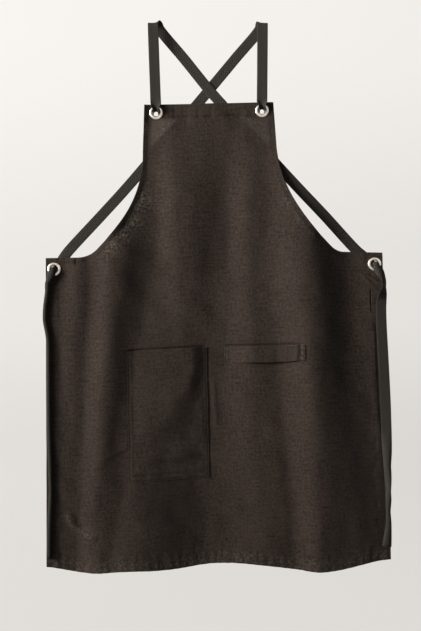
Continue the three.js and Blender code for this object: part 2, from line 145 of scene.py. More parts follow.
# Creases left in the cloth: a line on it, the reach to either side, the height, how much painted shade
# lies inside it and how much painted highlight lies on its crest
CREASES = [
    {"name": "drag line by the left foot", "reach": 0.011, "height": 0.0038, "dark": 0, "pale": 0.34,
     "line": ((-0.282, 0.778), (-0.2735, 0.797), (-0.2624, 0.808), (-0.236, 0.8185))},
    {"name": "sharp crease by the right eyelet", "reach": 0.0018, "height": -0.0022, "dark": 0.9,
     "line": ((0.2993, 0.363), (0.2994, 0.401))},
    {"name": "across below the right eyelet", "reach": 0.004, "height": -0.0009, "dark": 0.2,
     "line": ((0.272, 0.3862), (0.3195, 0.3835))},
    {"name": "drag under the right eyelet", "reach": 0.004, "height": 0.0011, "dark": 0,
     "line": ((0.2927, 0.3315), (0.3175, 0.3493))},
    {"name": "second drag under the right eyelet", "reach": 0.005, "height": 0.0012, "dark": 0,
     "line": ((0.281, 0.3275), (0.3153, 0.3663))},
    {"name": "side hem dipping beside the right tie", "reach": 0.0045, "height": -0.0016, "dark": 0.75,
     "line": ((0.3075, 0.430), (0.3112, 0.574), (0.3167, 0.650), (0.3197, 0.720))},
    {"name": "beside the pocket", "reach": 0.007, "height": 0.0017, "dark": 0,
     "line": ((-0.0027, 0.532), (0.0013, 0.608))},
    {"name": "drag to the pocket", "reach": 0.007, "height": 0.0012, "dark": 0,
     "line": ((-0.2245, 0.6776), (-0.1706, 0.6483))},
    {"name": "first dent of the top edge", "reach": 0.006, "height": -0.0009, "dark": 0.15,
     "line": ((-0.0654, 0.0064), (-0.0658, 0.0254))},
    {"name": "second dent of the top edge", "reach": 0.006, "height": -0.0008, "dark": 0.15,
     "line": ((-0.0198, 0.0074), (-0.0202, 0.0264))},
    {"name": "third dent of the top edge", "reach": 0.006, "height": -0.0009, "dark": 0.15,
     "line": ((0.0049, 0.0079), (0.0045, 0.0269))},
    {"name": "nick under the left flap's edge", "reach": 0.0018, "height": -0.0012, "dark": 0.8,
     "line": ((-0.2587, 0.2885), (-0.2590, 0.2986))},
]


def smooth(value, low, high):
    share = np.clip((value - low) / (high - low), 0, 1)
    return share * share * (3 - 2 * share)


def ridge(away, half):
    """1 at a line, falling off softly to either side."""
    return np.exp(-((away / half) ** 2))


def swell(away, left, right):
    """One soft wave: 1 at its crest, falling to 0 at its reach on either side."""
    within = np.minimum(np.abs(away) / np.where(away < 0, left, right), 1)
    return 0.5 + 0.5 * np.cos(np.pi * within)


def between(ends, share):
    return ends[0] + (ends[1] - ends[0]) * share


def fold_at(across, drop):
    """How far the folds bring the cloth forward."""
    forward = np.zeros(np.broadcast(across, drop).shape)
    for fold in FOLDS:
        down = np.clip((drop - fold["full"]) / (fold["to"] - fold["full"]), 0, 1)
        crest, left, right = (between(fold[k], down) for k in ("crest", "left", "right"))
        height = between(fold["rise"], down * down)
        shown = smooth(drop, fold["from"], fold["full"]) * (1 - smooth(drop, fold["to"], fold["gone"]))
        forward = forward + height * shown * swell(across - crest, left, right)
    return forward


def waves(rows, across, drop):
    return sum(
        row.get("height", 1)
        * np.sin((across * math.cos(row["turn"]) + drop * math.sin(row["turn"])) * 2 * math.pi / row["length"]
                 + row["phase"])
        for row in rows
    )


def quadratic(start, pull, end):
    share = np.linspace(0, 1, CURVE_POINTS)[:, None]
    return (1 - share) ** 2 * start + 2 * share * (1 - share) * pull + share**2 * end


def arm_edge(side):
    """Bib side, armhole and flap top of one side, from the bib's corner out to the flap's."""
    points = [np.array([SIDES[side] * row[side], row["drop"]]) for row in ARMHOLE]
    corner = [SIDES[side] * FLAP_HALF[side], FLAP_DROP[side]]
    upper, lower = quadratic(*points[:3]), quadratic(*points[2:])
    return np.vstack([[SIDES[side] * BIB_HALF, 0], upper, lower[1:], corner])


def hem_drop(across):
    return LENGTH + sum(w["dip"] * swell(across - w["crest"], w["left"], w["right"]) for w in HEM_WAVES)


def side_edge(side):
    foot = SIDES[side] * HEM_HALF
    return np.array([[SIDES[side] * FLAP_HALF[side], FLAP_DROP[side]], [foot, hem_drop(foot)]])


def foot_edge():
    across = np.linspace(HEM_HALF, -HEM_HALF, HEM_POINTS)
    return np.stack([across, hem_drop(across)], 1)


def distance_to(line, across, drop):
    """Shortest distance from each place to a line on the cloth."""
    best = np.full(np.shape(across), np.inf)
    for start, end in zip(line[:-1], line[1:]):
        run = end - start
        off_across, off_down = across - start[0], drop - start[1]
        share = np.clip((off_across * run[0] + off_down * run[1]) / (run @ run), 0, 1)
        best = np.minimum(best, np.hypot(off_across - share * run[0], off_down - share * run[1]))
    return best


ARM_EDGES = {side: arm_edge(side) for side in SIDES}
SIDE_EDGES = {side: side_edge(side) for side in SIDES}
FOOT_EDGE = foot_edge()


def from_eyelet(eyelet, across, drop):
    return np.hypot(across - eyelet["across"], drop - eyelet["drop"])


def drape(across, drop):
    """How far the middle of the cloth lies in front of the plane it hangs in."""
    free, clear = np.ones(np.shape(across)), 1 - smooth(drop, EDGE_CURL["full"], EDGE_CURL["gone"])
    for eyelet in EYELETS:
        away = from_eyelet(eyelet, across, drop)
        free = free * smooth(away, *EYELET_FLAT["rumples"])
        clear = clear * smooth(away, *EYELET_FLAT["curl"])
    from_arm = distance_to(ARM_EDGES["left"], across, drop)
    curl = EDGE_CURL["height"] * np.clip(1 - from_arm / EDGE_CURL["reach"], 0, 1) ** 2
    return fold_at(across, drop) + free * waves(RUMPLES, across, drop) + clear * curl


def on_apron(across, drop, forward):
    """A place on the hanging apron in the frame, from distances across, down and forward."""
    turn, lean = math.cos(HANG_TILT), math.sin(HANG_TILT)
    x = BIB_MIDDLE_X + across * turn + drop * lean
    z = BIB_TOP_Z + across * lean - drop * turn
    return np.stack(np.broadcast_arrays(x, -forward, z), axis=-1)


def on_cloth(across, drop, off):
    """A place in the frame that lies this far in front of the middle of the panel's cloth."""
    step = 0.0006
    slope_across = (drape(across + step, drop) - drape(across - step, drop)) / (2 * step)
    slope_down = (drape(across, drop + step) - drape(across, drop - step)) / (2 * step)
    lift = off / np.sqrt(1 + slope_across**2 + slope_down**2)
    return on_apron(across - lift * slope_across, drop - lift * slope_down, drape(across, drop) + lift)


def edge_distances(across, drop):
    """Distances to the edges that are turned over, by the name of the edge."""
    return {
        "top": drop,
        "arm": np.minimum(*(distance_to(ARM_EDGES[side], across, drop) for side in SIDES)),
        "side": np.minimum(*(distance_to(SIDE_EDGES[side], across, drop) for side in SIDES)),
        "foot": hem_drop(across) - drop,
    }


def corner_distance(across, drop):
    """Distance beyond the slanted inner edge of the backing in a top corner of the bib."""
    top_end, side_end = CORNER_SLANT
    run = side_end - top_end
    slant = np.array([-run[1], run[0]]) / np.hypot(*run)
    return (np.abs(across) - top_end[0]) * slant[0] + (drop - top_end[1]) * slant[1]


def patch_frame(patch):
    """The edges along which a patch is sewn on, from its top left corner round to its top right one."""
    lean = np.array([0, patch["lean"] / 2])
    left, right, top, bottom = (patch[k] for k in ("left", "right", "top", "bottom"))
    left_edge, right_edge = [[left, top], [left, bottom]] + lean, [[right, bottom], [right, top]] - lean
    return np.vstack([left_edge, right_edge])


def sewn_edges(name):
    """The sewn edges of the pocket, or the two ends of the loop, which is open along its bottom too."""
    frame_line = patch_frame(PATCHES[name])
    return [frame_line] if name == "pocket" else [frame_line[:2], frame_line[2:]]


def crease_share(crease, across, drop):
    away = distance_to(np.array(crease["line"]), across, drop)
    return np.clip(1 - (away / crease["reach"]) ** 2, 0, 1) ** 2


def groove_share(across, drop):
    """1 along the edges of what is sewn on, falling off to either side."""
    lines = [line for name in PATCHES for line in sewn_edges(name)]
    away = np.minimum.reduce([distance_to(line, across, drop) for line in lines])
    return ridge(away, SEWN_GROOVE["reach"])


def pressed(across, drop):
    """How far creases and what is sewn on bring the cloth forward, or back where this is less than 0."""
    forward = sum(crease["height"] * crease_share(crease, across, drop) for crease in CREASES)
    for patch in PATCHES.values():
        width, from_left = patch["right"] - patch["left"], across - patch["left"]
        from_top = drop - patch["top"] - (0.5 - from_left / width) * patch["lean"]
        within = smooth(from_left, *MOUTH_SINK["ends"]) * smooth(width - from_left, *MOUTH_SINK["ends"])
        sunk = smooth(from_top, -MOUTH_SINK["above"], 0)
        held = 1 - smooth(from_top, MOUTH_SINK["held"], MOUTH_SINK["gone"])
        forward = forward - MOUTH_SINK["depth"] * within * sunk * held
    return forward - SEWN_GROOVE["depth"] * groove_share(across, drop)


def panel_faces(across, drop):
    """How far the panel's front and back lie from the middle of its cloth."""
    edges = edge_distances(across, drop)
    beyond = {name: edges[name] - width for name, width in TURNING.items()}
    wander = HEM_PUCKER["sway"] * np.sin(across * 2 * math.pi / HEM_PUCKER["wander"])
    hem_pucker = HEM_PUCKER["height"] * np.sin(across * 2 * math.pi / HEM_PUCKER["length"] + wander)
    hem_pucker = hem_pucker * (1 - smooth(edges["foot"], HEM_PUCKER["full"], HEM_PUCKER["gone"]))
    front = back = pressed(across, drop) + hem_pucker
    for past_edge in beyond.values():
        seam = ridge(past_edge + SEAM_IN, SEAM_RELIEF["half"])
        near_seam = ridge(past_edge + SEAM_IN, SEAM_RELIEF["puckers"])
        pucker = PUCKER_HEIGHT * near_seam * waves(PUCKERS, across, drop)
        front = front - SEAM_RELIEF["front"] * seam + pucker
        back = back + SEAM_RELIEF["back"] * seam + pucker
    second_ply = np.minimum.reduce([*beyond.values(), corner_distance(across, drop)])
    shown = 1 - smooth(second_ply, -SHOWN_PLY["inside"], SHOWN_PLY["beyond"])
    doubled = 1 - smooth(second_ply, 0, PLY_STEP)
    front = front + LINEN_PLY / 2 + SHOWN_PLY["height"] * shown
    return front, back - LINEN_PLY / 2 - TURNED_PLY * doubled


def resampled(line, spacing):
    """The same line with its points evenly spaced."""
    line = np.asarray(line)
    along = np.concatenate([[0], np.cumsum(np.linalg.norm(np.diff(line, axis=0), axis=1))])
    at = np.linspace(0, along[-1], max(int(round(along[-1] / spacing)), 1) + 1)
    return np.stack([np.interp(at, along, column) for column in line.T], 1)


SHARPEST_MITRE = 0.4


def moved_in(line, distance, closed=False):
    """A line on the cloth moved to its right-hand side as it runs, which is inwards on the outline."""
    runs = np.diff(np.vstack([line, line[:1]]) if closed else line, axis=0)
    sides = np.stack([-runs[:, 1], runs[:, 0]], 1) / np.linalg.norm(runs, axis=1)[:, None]
    before = np.roll(sides, 1, axis=0) if closed else np.vstack([sides[:1], sides])
    after = sides if closed else np.vstack([sides, sides[-1:]])
    way = before + after
    way = way / np.linalg.norm(way, axis=1)[:, None]
    return line + way * distance / np.maximum((way * after).sum(1), SHARPEST_MITRE)[:, None]


def turning_line(edge, width):
    """Lines that run along a kind of edge at this distance in from it."""
    if edge == "top":
        end = BIB_HALF - TOP_SEAM_SHORT
        return [np.array([[-end, width], [end, width]])]
    if edge == "arm":
        return [moved_in(ARM_EDGES["left"][::-1], width)[1:], moved_in(ARM_EDGES["right"], width)[:-1]]
    if edge == "side":
        return [moved_in(SIDE_EDGES["left"][::-1], width), moved_in(SIDE_EDGES["right"], width)]
    return [moved_in(FOOT_EDGE, width)]


# The panel's net: a fine lattice inside, with closer lines along its edges, seams, creases and eyelets
CLOTH_STEP = 0.0045
EDGE_STEP = 0.0032
EDGE_LINES = (0.0, 0.00025, 0.0007, 0.0013, 0.0026)
PLY_LINES = (0, PLY_STEP, 0.0022)
CREASE_LINES = (-1, -0.5, 0, 0.5, 1)
GROOVE_LINES = (-2, -1, 0, 1)
MOUTH_LINES = (-0.0004, 0.001, 0.0022, 0.0034, 0.0046)
EYELET_LINES = (0, 0.0012, 0.003)
EYELET_POINTS = 32
PUNCH_SLACK = 0.995
TRIANGLES_INSIDE, SAME_POINT = 1, 1e-7
LATTICE = {"half": 0.335, "top": 0.003, "foot": 0.90, "row": 0.866, "clear": 0.0026, "cell": 0.004}
outline = np.vstack([resampled(line, EDGE_STEP)[:-1] for line in (
    [[-BIB_HALF, 0], [BIB_HALF, 0]], ARM_EDGES["right"], SIDE_EDGES["right"], FOOT_EDGE,
    SIDE_EDGES["left"][::-1], ARM_EDGES["left"][::-1],
)])
net_lines = [(moved_in(outline, distance, closed=True), True) for distance in EDGE_LINES]
open_lines = []
for edge, width in TURNING.items():
    for beside in (-2 * SEAM_IN, -SEAM_IN, *PLY_LINES):
        open_lines += turning_line(edge, width + beside)
for sign in SIDES.values():
    open_lines += [moved_in(CORNER_SLANT * [sign, 1], -sign * beside) for beside in PLY_LINES]
for crease in CREASES:
    open_lines += [moved_in(np.array(crease["line"]), beside * crease["reach"]) for beside in CREASE_LINES]
for name, patch in PATCHES.items():
    for line in sewn_edges(name):
        open_lines += [moved_in(line, beside * SEWN_GROOVE["reach"]) for beside in GROOVE_LINES]
    open_lines += [patch_frame(patch)[[0, 3]] - [0, above] for above in MOUTH_LINES]
net_lines += [(resampled(line, EDGE_STEP), False) for line in open_lines]
for eyelet in EYELETS:
    round_it = np.linspace(0, 2 * math.pi, EYELET_POINTS + 1)[:-1]
    ring = np.stack([np.cos(round_it), np.sin(round_it)], 1)
    for beside in EYELET_LINES:
        net_lines.append((ring * (EYELET_PUNCH + beside) + [eyelet["across"], eyelet["drop"]], True))

columns, rows = np.meshgrid(np.arange(-LATTICE["half"], LATTICE["half"], CLOTH_STEP),
                            np.arange(LATTICE["top"], LATTICE["foot"], CLOTH_STEP * LATTICE["row"]))
columns = columns + np.where(np.arange(len(rows)) % 2, CLOTH_STEP / 2, 0)[:, None]
lattice = np.stack([columns.ravel(), rows.ravel()], 1)
crowded = np.zeros(len(lattice), bool)
cells = {}
for line, _ in net_lines:
    for point in line:
        cells.setdefault(tuple((point // LATTICE["cell"]).astype(int)), []).append(point)
for i, point in enumerate(lattice):
    column, row = (point // LATTICE["cell"]).astype(int)
    near = [p for c in (-1, 0, 1) for r in (-1, 0, 1) for p in cells.get((column + c, row + r), ())]
    crowded[i] = any((p[0] - point[0]) ** 2 + (p[1] - point[1]) ** 2 < LATTICE["clear"] ** 2 for p in near)
net_points, net_edges = [], []
for line, closed in net_lines:
    first = len(net_points)
    net_points += [Vector(p) for p in line]
    net_edges += [(first + i, first + i + 1) for i in range(len(line) - 1)]
    if closed:
        net_edges.append((len(net_points) - 1, first))
net_points += [Vector(p) for p in lattice[~crowded]]
cut_points, _, cut_faces, _, _, _ = delaunay_2d_cdt(net_points, net_edges, [], TRIANGLES_INSIDE, SAME_POINT)
cut = np.array([tuple(p) for p in cut_points])
cut_faces = np.array(cut_faces)
middles = cut[cut_faces].mean(axis=1)
for eyelet in EYELETS:
    outside = from_eyelet(eyelet, *middles.T) > EYELET_PUNCH * PUNCH_SLACK
    cut_faces, middles = cut_faces[outside], middles[outside]
used, cut_faces = np.unique(cut_faces, return_inverse=True)
cut, cut_faces = cut[used], cut_faces.reshape(-1, 3)
turned = cut[cut_faces]
backwards = np.cross(turned[:, 1] - turned[:, 0], turned[:, 2] - turned[:, 0]) > 0
cut_faces[backwards] = cut_faces[backwards][:, ::-1]


def rim_of(faces, count):
    """Which points lie on an open edge of a net of faces."""
    edges = np.sort(np.stack([faces, np.roll(faces, -1, axis=1)], -1).reshape(-1, 2), axis=1)
    found, times = np.unique(edges, axis=0, return_counts=True)
    rim = np.zeros(count, bool)
    rim[found[times == 1].ravel()] = True
    return rim


def rounded_edge(front, back, edge_distance):
    """Draws both faces together in a half round at an edge of the cloth."""
    half, middle = (front - back) / 2, (front + back) / 2
    round_off = np.sqrt(1 - (1 - np.clip(edge_distance / half, 0, 1)) ** 2)
    return middle + half * round_off, middle - half * round_off


def two_faced_piece(name, front, back, faces, cut_map, material, **marks):
    """A closed cloth piece from its two faces, which share the points of their open edge. Marks are
    values at the points that the material reads."""
    count = len(front)
    rim = rim_of(faces, count)
    behind = np.where(rim, np.arange(count), count + np.cumsum(~rim) - 1)
    places = np.vstack([front, back[~rim]])
    mesh = bpy.data.meshes.new(name)
    mesh.from_pydata(places.tolist(), [], faces.tolist() + behind[faces][:, ::-1].tolist())
    corners = np.empty(len(mesh.loops), np.int32)
    mesh.loops.foreach_get("vertex_index", corners)
    both_maps = np.vstack([cut_map, cut_map[~rim]])
    mesh.uv_layers.new(name="cut").uv.foreach_set("vector", both_maps[corners].astype(np.float32).ravel())
    mesh.polygons.foreach_set("use_smooth", np.ones(len(mesh.polygons), bool))
    for mark, values in marks.items():
        both_values = np.concatenate([values, values[~rim]]).astype(np.float32)
        mesh.attributes.new(mark, "FLOAT", "POINT").data.foreach_set("value", both_values)
    mesh.materials.append(material)
    mesh.update()
    piece = bpy.data.objects.new(name, mesh)
    bpy.context.scene.collection.objects.link(piece)
    return piece


def shader(name):
    """A material, its node tree and the node of its surface."""
    material = bpy.data.materials.new(name)
    material.use_nodes = True
    return material, material.node_tree, material.node_tree.nodes["Principled BSDF"]


def set_inputs(tree, node, **values):
    """Sets or links a node's input sockets by name, or by number after an underscore."""
    for key, value in values.items():
        socket = node.inputs[int(key[1:]) if key[0] == "_" else key.replace("_", " ")]
        if isinstance(value, bpy.types.NodeSocket):
            tree.links.new(value, socket)
        else:
            socket.default_value = value


def add_node(tree, kind, settings=(), **values):
    node = tree.nodes.new(kind)
    for key, value in dict(settings).items():
        setattr(node, key, value)
    set_inputs(tree, node, **values)
    return node


def math_node(tree, operation, first, second=0.0):
    return add_node(tree, "ShaderNodeMath", {"operation": operation}, _0=first, _1=second).outputs[0]


def stretched_noise(tree, place, scale, detail=2.0, roughness=0.5):
    """Noise drawn out along one way of the cloth, by its number of waves in a metre each way."""
    mapped = add_node(tree, "ShaderNodeMapping", Vector=place, Scale=scale).outputs[0]
    noise = add_node(tree, "ShaderNodeTexNoise", Vector=mapped, Scale=1.0, Detail=detail, Roughness=roughness)
    return noise.outputs[0]


def ranged(tree, value, given, wanted=(0.0, 1.0)):
    """A value brought from one range into another and kept inside it."""
    return add_node(tree, "ShaderNodeMapRange", Value=value, From_Min=given[0], From_Max=given[1],
                    To_Min=wanted[0], To_Max=wanted[1]).outputs[0]


def bumped(tree, height, strength, distance):
    return add_node(tree, "ShaderNodeBump", Strength=strength, Distance=distance, Height=height).outputs[0]


def weighted(tree, *terms):
    """The sum of values, each times its weight."""
    parts = [math_node(tree, "MULTIPLY", value, weight) for value, weight in terms]
    total = parts[0]
    for part in parts[1:]:
        total = math_node(tree, "ADD", total, part)
    return total


def two_tone(tree, value, dark, light, ends):
    """A colour from dark to light as a value goes from one end to the other."""
    ramp = add_node(tree, "ShaderNodeValToRGB", Fac=value)
    for stop, place, colour in zip(ramp.color_ramp.elements, ends, (dark, light)):
        stop.position, stop.color = place, colour
    return ramp.outputs[0]


def covered(tree, share, under, over):
    mix = add_node(tree, "ShaderNodeMix", {"data_type": "RGBA"}, _0=share, _6=under, _7=over)
    return mix.outputs[2]


def mark_read(tree, mark):
    return add_node(tree, "ShaderNodeAttribute", {"attribute_name": mark}).outputs["Fac"]


LINEN_DARK = (0.0150, 0.0106, 0.0081, 1)
LINEN_LIGHT = (0.0600, 0.0432, 0.0340, 1)
LINEN_SHEEN_TINT = (1.0, 0.93, 0.85, 1)
# Colours of painted sheen, where the cloth catches the light, and of painted shade in seams, creases and
# folds
LINEN_PAINTED_SHEEN = (0.1350, 0.1160, 0.0960, 1)
LINEN_PAINTED_SHADE = (0.0060, 0.0045, 0.0036, 1)
LINEN_THREAD = 0.0009
LINEN_TONES = (0.30, 0.72)
LINEN_GRAINS = (0.46, 0.64)
LINEN_ROUGH = (0.86, 0.66)

linen, tree, surface = shader("slub_linen")
on_cut = add_node(tree, "ShaderNodeUVMap", {"uv_map": "cut"}).outputs[0]
in_threads = add_node(tree, "ShaderNodeVectorMath", {"operation": "SCALE"}, Vector=on_cut,
                      Scale=math.pi / LINEN_THREAD).outputs[0]
threads = add_node(tree, "ShaderNodeSeparateXYZ", Vector=in_threads)
warp_wave, weft_wave = (math_node(tree, "SINE", threads.outputs[k]) for k in (0, 1))
warp_round, weft_round = (math_node(tree, "ABSOLUTE", wave) for wave in (warp_wave, weft_wave))
warp_over = math_node(tree, "GREATER_THAN", math_node(tree, "MULTIPLY", warp_wave, weft_wave), 0.0)
weave = add_node(tree, "ShaderNodeMix", {"data_type": "FLOAT"}, _0=warp_over, _2=weft_round,
                 _3=warp_round).outputs[0]
weft_slub = stretched_noise(tree, on_cut, (38, 330, 1), 3.0)
warp_slub = stretched_noise(tree, on_cut, (380, 34, 1), 3.0)
fleck = stretched_noise(tree, on_cut, (225, 200, 1), 2.0)
tufts = stretched_noise(tree, on_cut, (95, 130, 1), 2.0)
cloud = math_node(tree, "SUBTRACT", stretched_noise(tree, on_cut, (9, 7, 1), 3.0), 0.5)
slub = weighted(tree, (weft_slub, 0.30), (warp_slub, 0.22), (fleck, 0.48))
shade = weighted(tree, (slub, 1.0), (cloud, 0.25), (math_node(tree, "SUBTRACT", weave, 0.6), 0.12))
colour = two_tone(tree, shade, LINEN_DARK, LINEN_LIGHT, LINEN_TONES)

# Painted sheen shows as pale grains and evenly in the corners; painted shade darkens seams and folds
grains = ranged(tree, weighted(tree, (fleck, 0.6), (tufts, 0.4)), LINEN_GRAINS)
sheen_share = math_node(tree, "MULTIPLY", mark_read(tree, "rubbed"), grains)
sheen_share = math_node(tree, "MAXIMUM", sheen_share, mark_read(tree, "faded"))
colour = covered(tree, sheen_share, colour, LINEN_PAINTED_SHEEN)
colour = covered(tree, mark_read(tree, "sewn"), colour, LINEN_PAINTED_SHADE)
relief = bumped(tree, weighted(tree, (weave, 0.6), (slub, 1.0)), strength=0.55, distance=0.0005)
rough = ranged(tree, slub, (0.3, 0.7), LINEN_ROUGH)
set_inputs(tree, surface, Base_Color=colour, Roughness=rough, Normal=relief, Specular_IOR_Level=0.07,
           Sheen_Weight=0.03, Sheen_Roughness=0.45, Sheen_Tint=LINEN_SHEEN_TINT)

across, drop = cut.T
front_off, back_off = panel_faces(across, drop)
edges = edge_distances(across, drop)
nearest = np.minimum.reduce(list(edges.values()))
for eyelet in EYELETS:
    nearest = np.minimum(nearest, np.abs(from_eyelet(eyelet, across, drop) - EYELET_PUNCH))
nearest[rim_of(cut_faces, len(cut))] = 0
front_off, back_off = rounded_edge(front_off, back_off, nearest)

# Painted sheen where the cloth catches the light: backed corners, armholes, the hem and crease crests
CORNER_SHEEN = {"left": 0.60, "right": 0.30, "slant": (-0.002, 0.001), "below_top": (0.024, 0.034),
               "from_arm": (0.012, 0.017), "faded": 0.42}
FOOT_SHEEN = {"strength": 0.31, "full": 0.012, "gone": 0.032}
ARM_SHEEN_IN = (0.007, 0.012)
ARM_SHEEN = [
    {"at": (-0.138, 0.182), "reach": 0.019, "strength": 1.0},
    {"at": (-0.150, 0.222), "reach": 0.016, "strength": 0.85},
    {"at": (-0.169, 0.247), "reach": 0.019, "strength": 1.0},
    {"at": (-0.190, 0.266), "reach": 0.017, "strength": 0.95},
    {"at": (0.150, 0.190), "reach": 0.014, "strength": 0.45},
    {"at": (0.174, 0.222), "reach": 0.014, "strength": 0.55},
    {"at": (0.200, 0.246), "reach": 0.013, "strength": 0.50},
]
corner_sheen = 1 - smooth(corner_distance(across, drop), *CORNER_SHEEN["slant"])
corner_sheen = corner_sheen * smooth(drop, *CORNER_SHEEN["below_top"])
corner_sheen = corner_sheen * smooth(edges["arm"], *CORNER_SHEEN["from_arm"])
corner_sheen = corner_sheen * np.where(across < 0, CORNER_SHEEN["left"], CORNER_SHEEN["right"])
armhole_sheen = np.maximum.reduce([
    spot["strength"] * ridge(np.hypot(across - spot["at"][0], drop - spot["at"][1]), spot["reach"])
    for spot in ARM_SHEEN
]) * smooth(edges["arm"], *ARM_SHEEN_IN)
foot_sheen = FOOT_SHEEN["strength"] * (1 - smooth(edges["foot"], FOOT_SHEEN["full"], FOOT_SHEEN["gone"]))
crest_highlights = [crease.get("pale", 0) * crease_share(crease, across, drop) for crease in CREASES]
rubbed_at = np.maximum.reduce([corner_sheen, armhole_sheen, foot_sheen, *crest_highlights])

# Painted shade: seams, creases and the grooves round what is sewn on are darker, and so are two broad
# places of the skirt that turn away from the light
SEAM_SHADE = {"top": 0.55, "arm": 0.55, "side": 0.45, "foot": 0.15}
SEAM_SHADE_HALF = 0.0012
GROOVE_SHADE = 0.35
PAINTED_SHADE_PATCHES = [
    {"at": (-0.100, 0.740), "wide": 0.075, "long": 0.110, "depth": 0.40},
    {"at": (0.300, 0.730), "wide": 0.045, "long": 0.120, "depth": 0.22},
]
sewn_at = np.maximum.reduce(
    [SEAM_SHADE[name] * ridge(edges[name] - width + SEAM_IN, SEAM_SHADE_HALF)
     for name, width in TURNING.items()]
    + [GROOVE_SHADE * groove_share(across, drop)]
    + [crease["dark"] * crease_share(crease, across, drop) for crease in CREASES]
    + [spot["depth"] * ridge(across - spot["at"][0], spot["wide"]) * ridge(drop - spot["at"][1], spot["long"])
       for spot in PAINTED_SHADE_PATCHES])
panel = two_faced_piece("panel_linen", on_cloth(across, drop, front_off), on_cloth(across, drop, back_off),
                        cut_faces, cut, linen, rubbed=rubbed_at, sewn=sewn_at,
                        faded=corner_sheen * CORNER_SHEEN["faded"])
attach(panel, "root")
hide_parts("apron_panel")


# Seams of the panel. Waxed thread a shade lighter than the cloth, lock-stitched by machine, so that the
# same row of short stitches shows on the front and on the back of every turned edge.
STITCH_PITCH = 0.0030
STITCH_LENGTH = 0.0024
STITCH_THICK = 0.00034
STITCH_PROUD = STITCH_THICK * 0.15
HEM_LINE_STEP = 0.003
THREAD_DARK = (0.020, 0.016, 0.013, 1)
THREAD_LIGHT = (0.060, 0.050, 0.042, 1)
THREAD_TONES = (0.35, 0.70)

thread, tree, surface = shader("sewing_thread")
in_place = add_node(tree, "ShaderNodeTexCoord").outputs["Object"]
twist = stretched_noise(tree, in_place, (1500, 1500, 1500), 2.0)
set_inputs(tree, surface, Base_Color=two_tone(tree, twist, THREAD_DARK, THREAD_LIGHT, THREAD_TONES),
           Normal=bumped(tree, twist, strength=0.5, distance=0.0002), Roughness=0.60,
           Specular_IOR_Level=0.15, Sheen_Weight=0.05)


def geometry_tree(name, inputs, output):
    """A geometry tree and the node of its inputs, each with its kind and, where it has one, its value."""
    tree = bpy.data.node_groups.new(name, "GeometryNodeTree")
    for label, (kind, *value) in inputs.items():
        socket = tree.interface.new_socket(label, in_out="INPUT", socket_type=f"NodeSocket{kind}")
        if value:
            socket.default_value = value[0]
    tree.interface.new_socket(output, in_out="OUTPUT", socket_type="NodeSocketGeometry")
    return tree, tree.nodes.new("NodeGroupInput")


def finish_tree(tree, placed, material, output):
    """Makes what is placed into real mesh with its material, and gives it out."""
    solid = add_node(tree, "GeometryNodeRealizeInstances", Geometry=placed).outputs[0]
    finished = add_node(tree, "GeometryNodeSetMaterial", Geometry=solid, Material=material).outputs[0]
    add_node(tree, "NodeGroupOutput", **{output: finished})


stitching, given = geometry_tree("row_of_stitches", {
    "Seam Lines": ("Geometry",), "Pitch": ("Float", STITCH_PITCH), "Stitch Length": ("Float", STITCH_LENGTH),
    "Thread Thickness": ("Float", STITCH_THICK), "Seed": ("Int", 3), "Thread": ("Material",),
}, "Stitches")
seam_curve = add_node(stitching, "GeometryNodeMeshToCurve", Mesh=given.outputs["Seam Lines"]).outputs[0]
spaced = add_node(stitching, "GeometryNodeResampleCurve", {"mode": "LENGTH"}, Curve=seam_curve,
                  Length=given.outputs["Pitch"]).outputs[0]
bead = add_node(stitching, "GeometryNodeMeshUVSphere", Segments=6, Rings=4, Radius=0.5).outputs[0]
bead_size = add_node(stitching, "ShaderNodeCombineXYZ", X=given.outputs["Thread Thickness"],
                     Y=given.outputs["Thread Thickness"], Z=given.outputs["Stitch Length"]).outputs[0]
stitch = add_node(stitching, "GeometryNodeTransform", Geometry=bead, Scale=bead_size).outputs[0]
run = stitching.nodes.new("GeometryNodeInputTangent").outputs[0]
along_seam = add_node(stitching, "FunctionNodeAlignRotationToVector", {"axis": "Z"}, Vector=run).outputs[0]
uneven = add_node(stitching, "FunctionNodeRandomValue", {"data_type": "FLOAT"}, Seed=given.outputs["Seed"],
                  _2=0.9, _3=1.06).outputs[1]
placed = add_node(stitching, "GeometryNodeInstanceOnPoints", Points=spaced, Instance=stitch,
                  Rotation=along_seam, Scale=uneven).outputs[0]
finish_tree(stitching, placed, given.outputs["Thread"], "Stitches")


def made_by(tree, name, mesh, **values):
    """A piece that a geometry tree makes from a mesh, kept as plain mesh. Inputs are set by identifier."""
    piece = bpy.data.objects.new(name, mesh)
    bpy.context.scene.collection.objects.link(piece)
    modifier = piece.modifiers.new(name, "NODES")
    modifier.node_group = tree
    for socket in tree.interface.items_tree:
        if socket.in_out == "INPUT" and socket.name.replace(" ", "_") in values:
            modifier[socket.identifier] = values[socket.name.replace(" ", "_")]
    bpy.context.view_layer.update()
    depsgraph = bpy.context.evaluated_depsgraph_get()
    plain = bpy.data.meshes.new_from_object(piece.evaluated_get(depsgraph), preserve_all_data_layers=True,
                                            depsgraph=depsgraph)
    piece.modifiers.remove(modifier)
    piece.data = plain
    bpy.data.meshes.remove(mesh)
    plain.name = name
    plain.polygons.foreach_set("use_smooth", np.ones(len(plain.polygons), bool))
    return piece


def sewn_seams(name, lines, pitch=STITCH_PITCH, length=STITCH_LENGTH):
    """One piece of stitches along lines of places in the frame."""
    points, edges = [], []
    for line in lines:
        edges += [(len(points) + i, len(points) + i + 1) for i in range(len(line) - 1)]
        points += np.asarray(line).tolist()
    mesh = bpy.data.meshes.new(name)
    mesh.from_pydata(points, edges, [])
    seams = made_by(stitching, name, mesh, Pitch=pitch, Stitch_Length=length, Thread=thread)
    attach(seams, "root")
    return seams


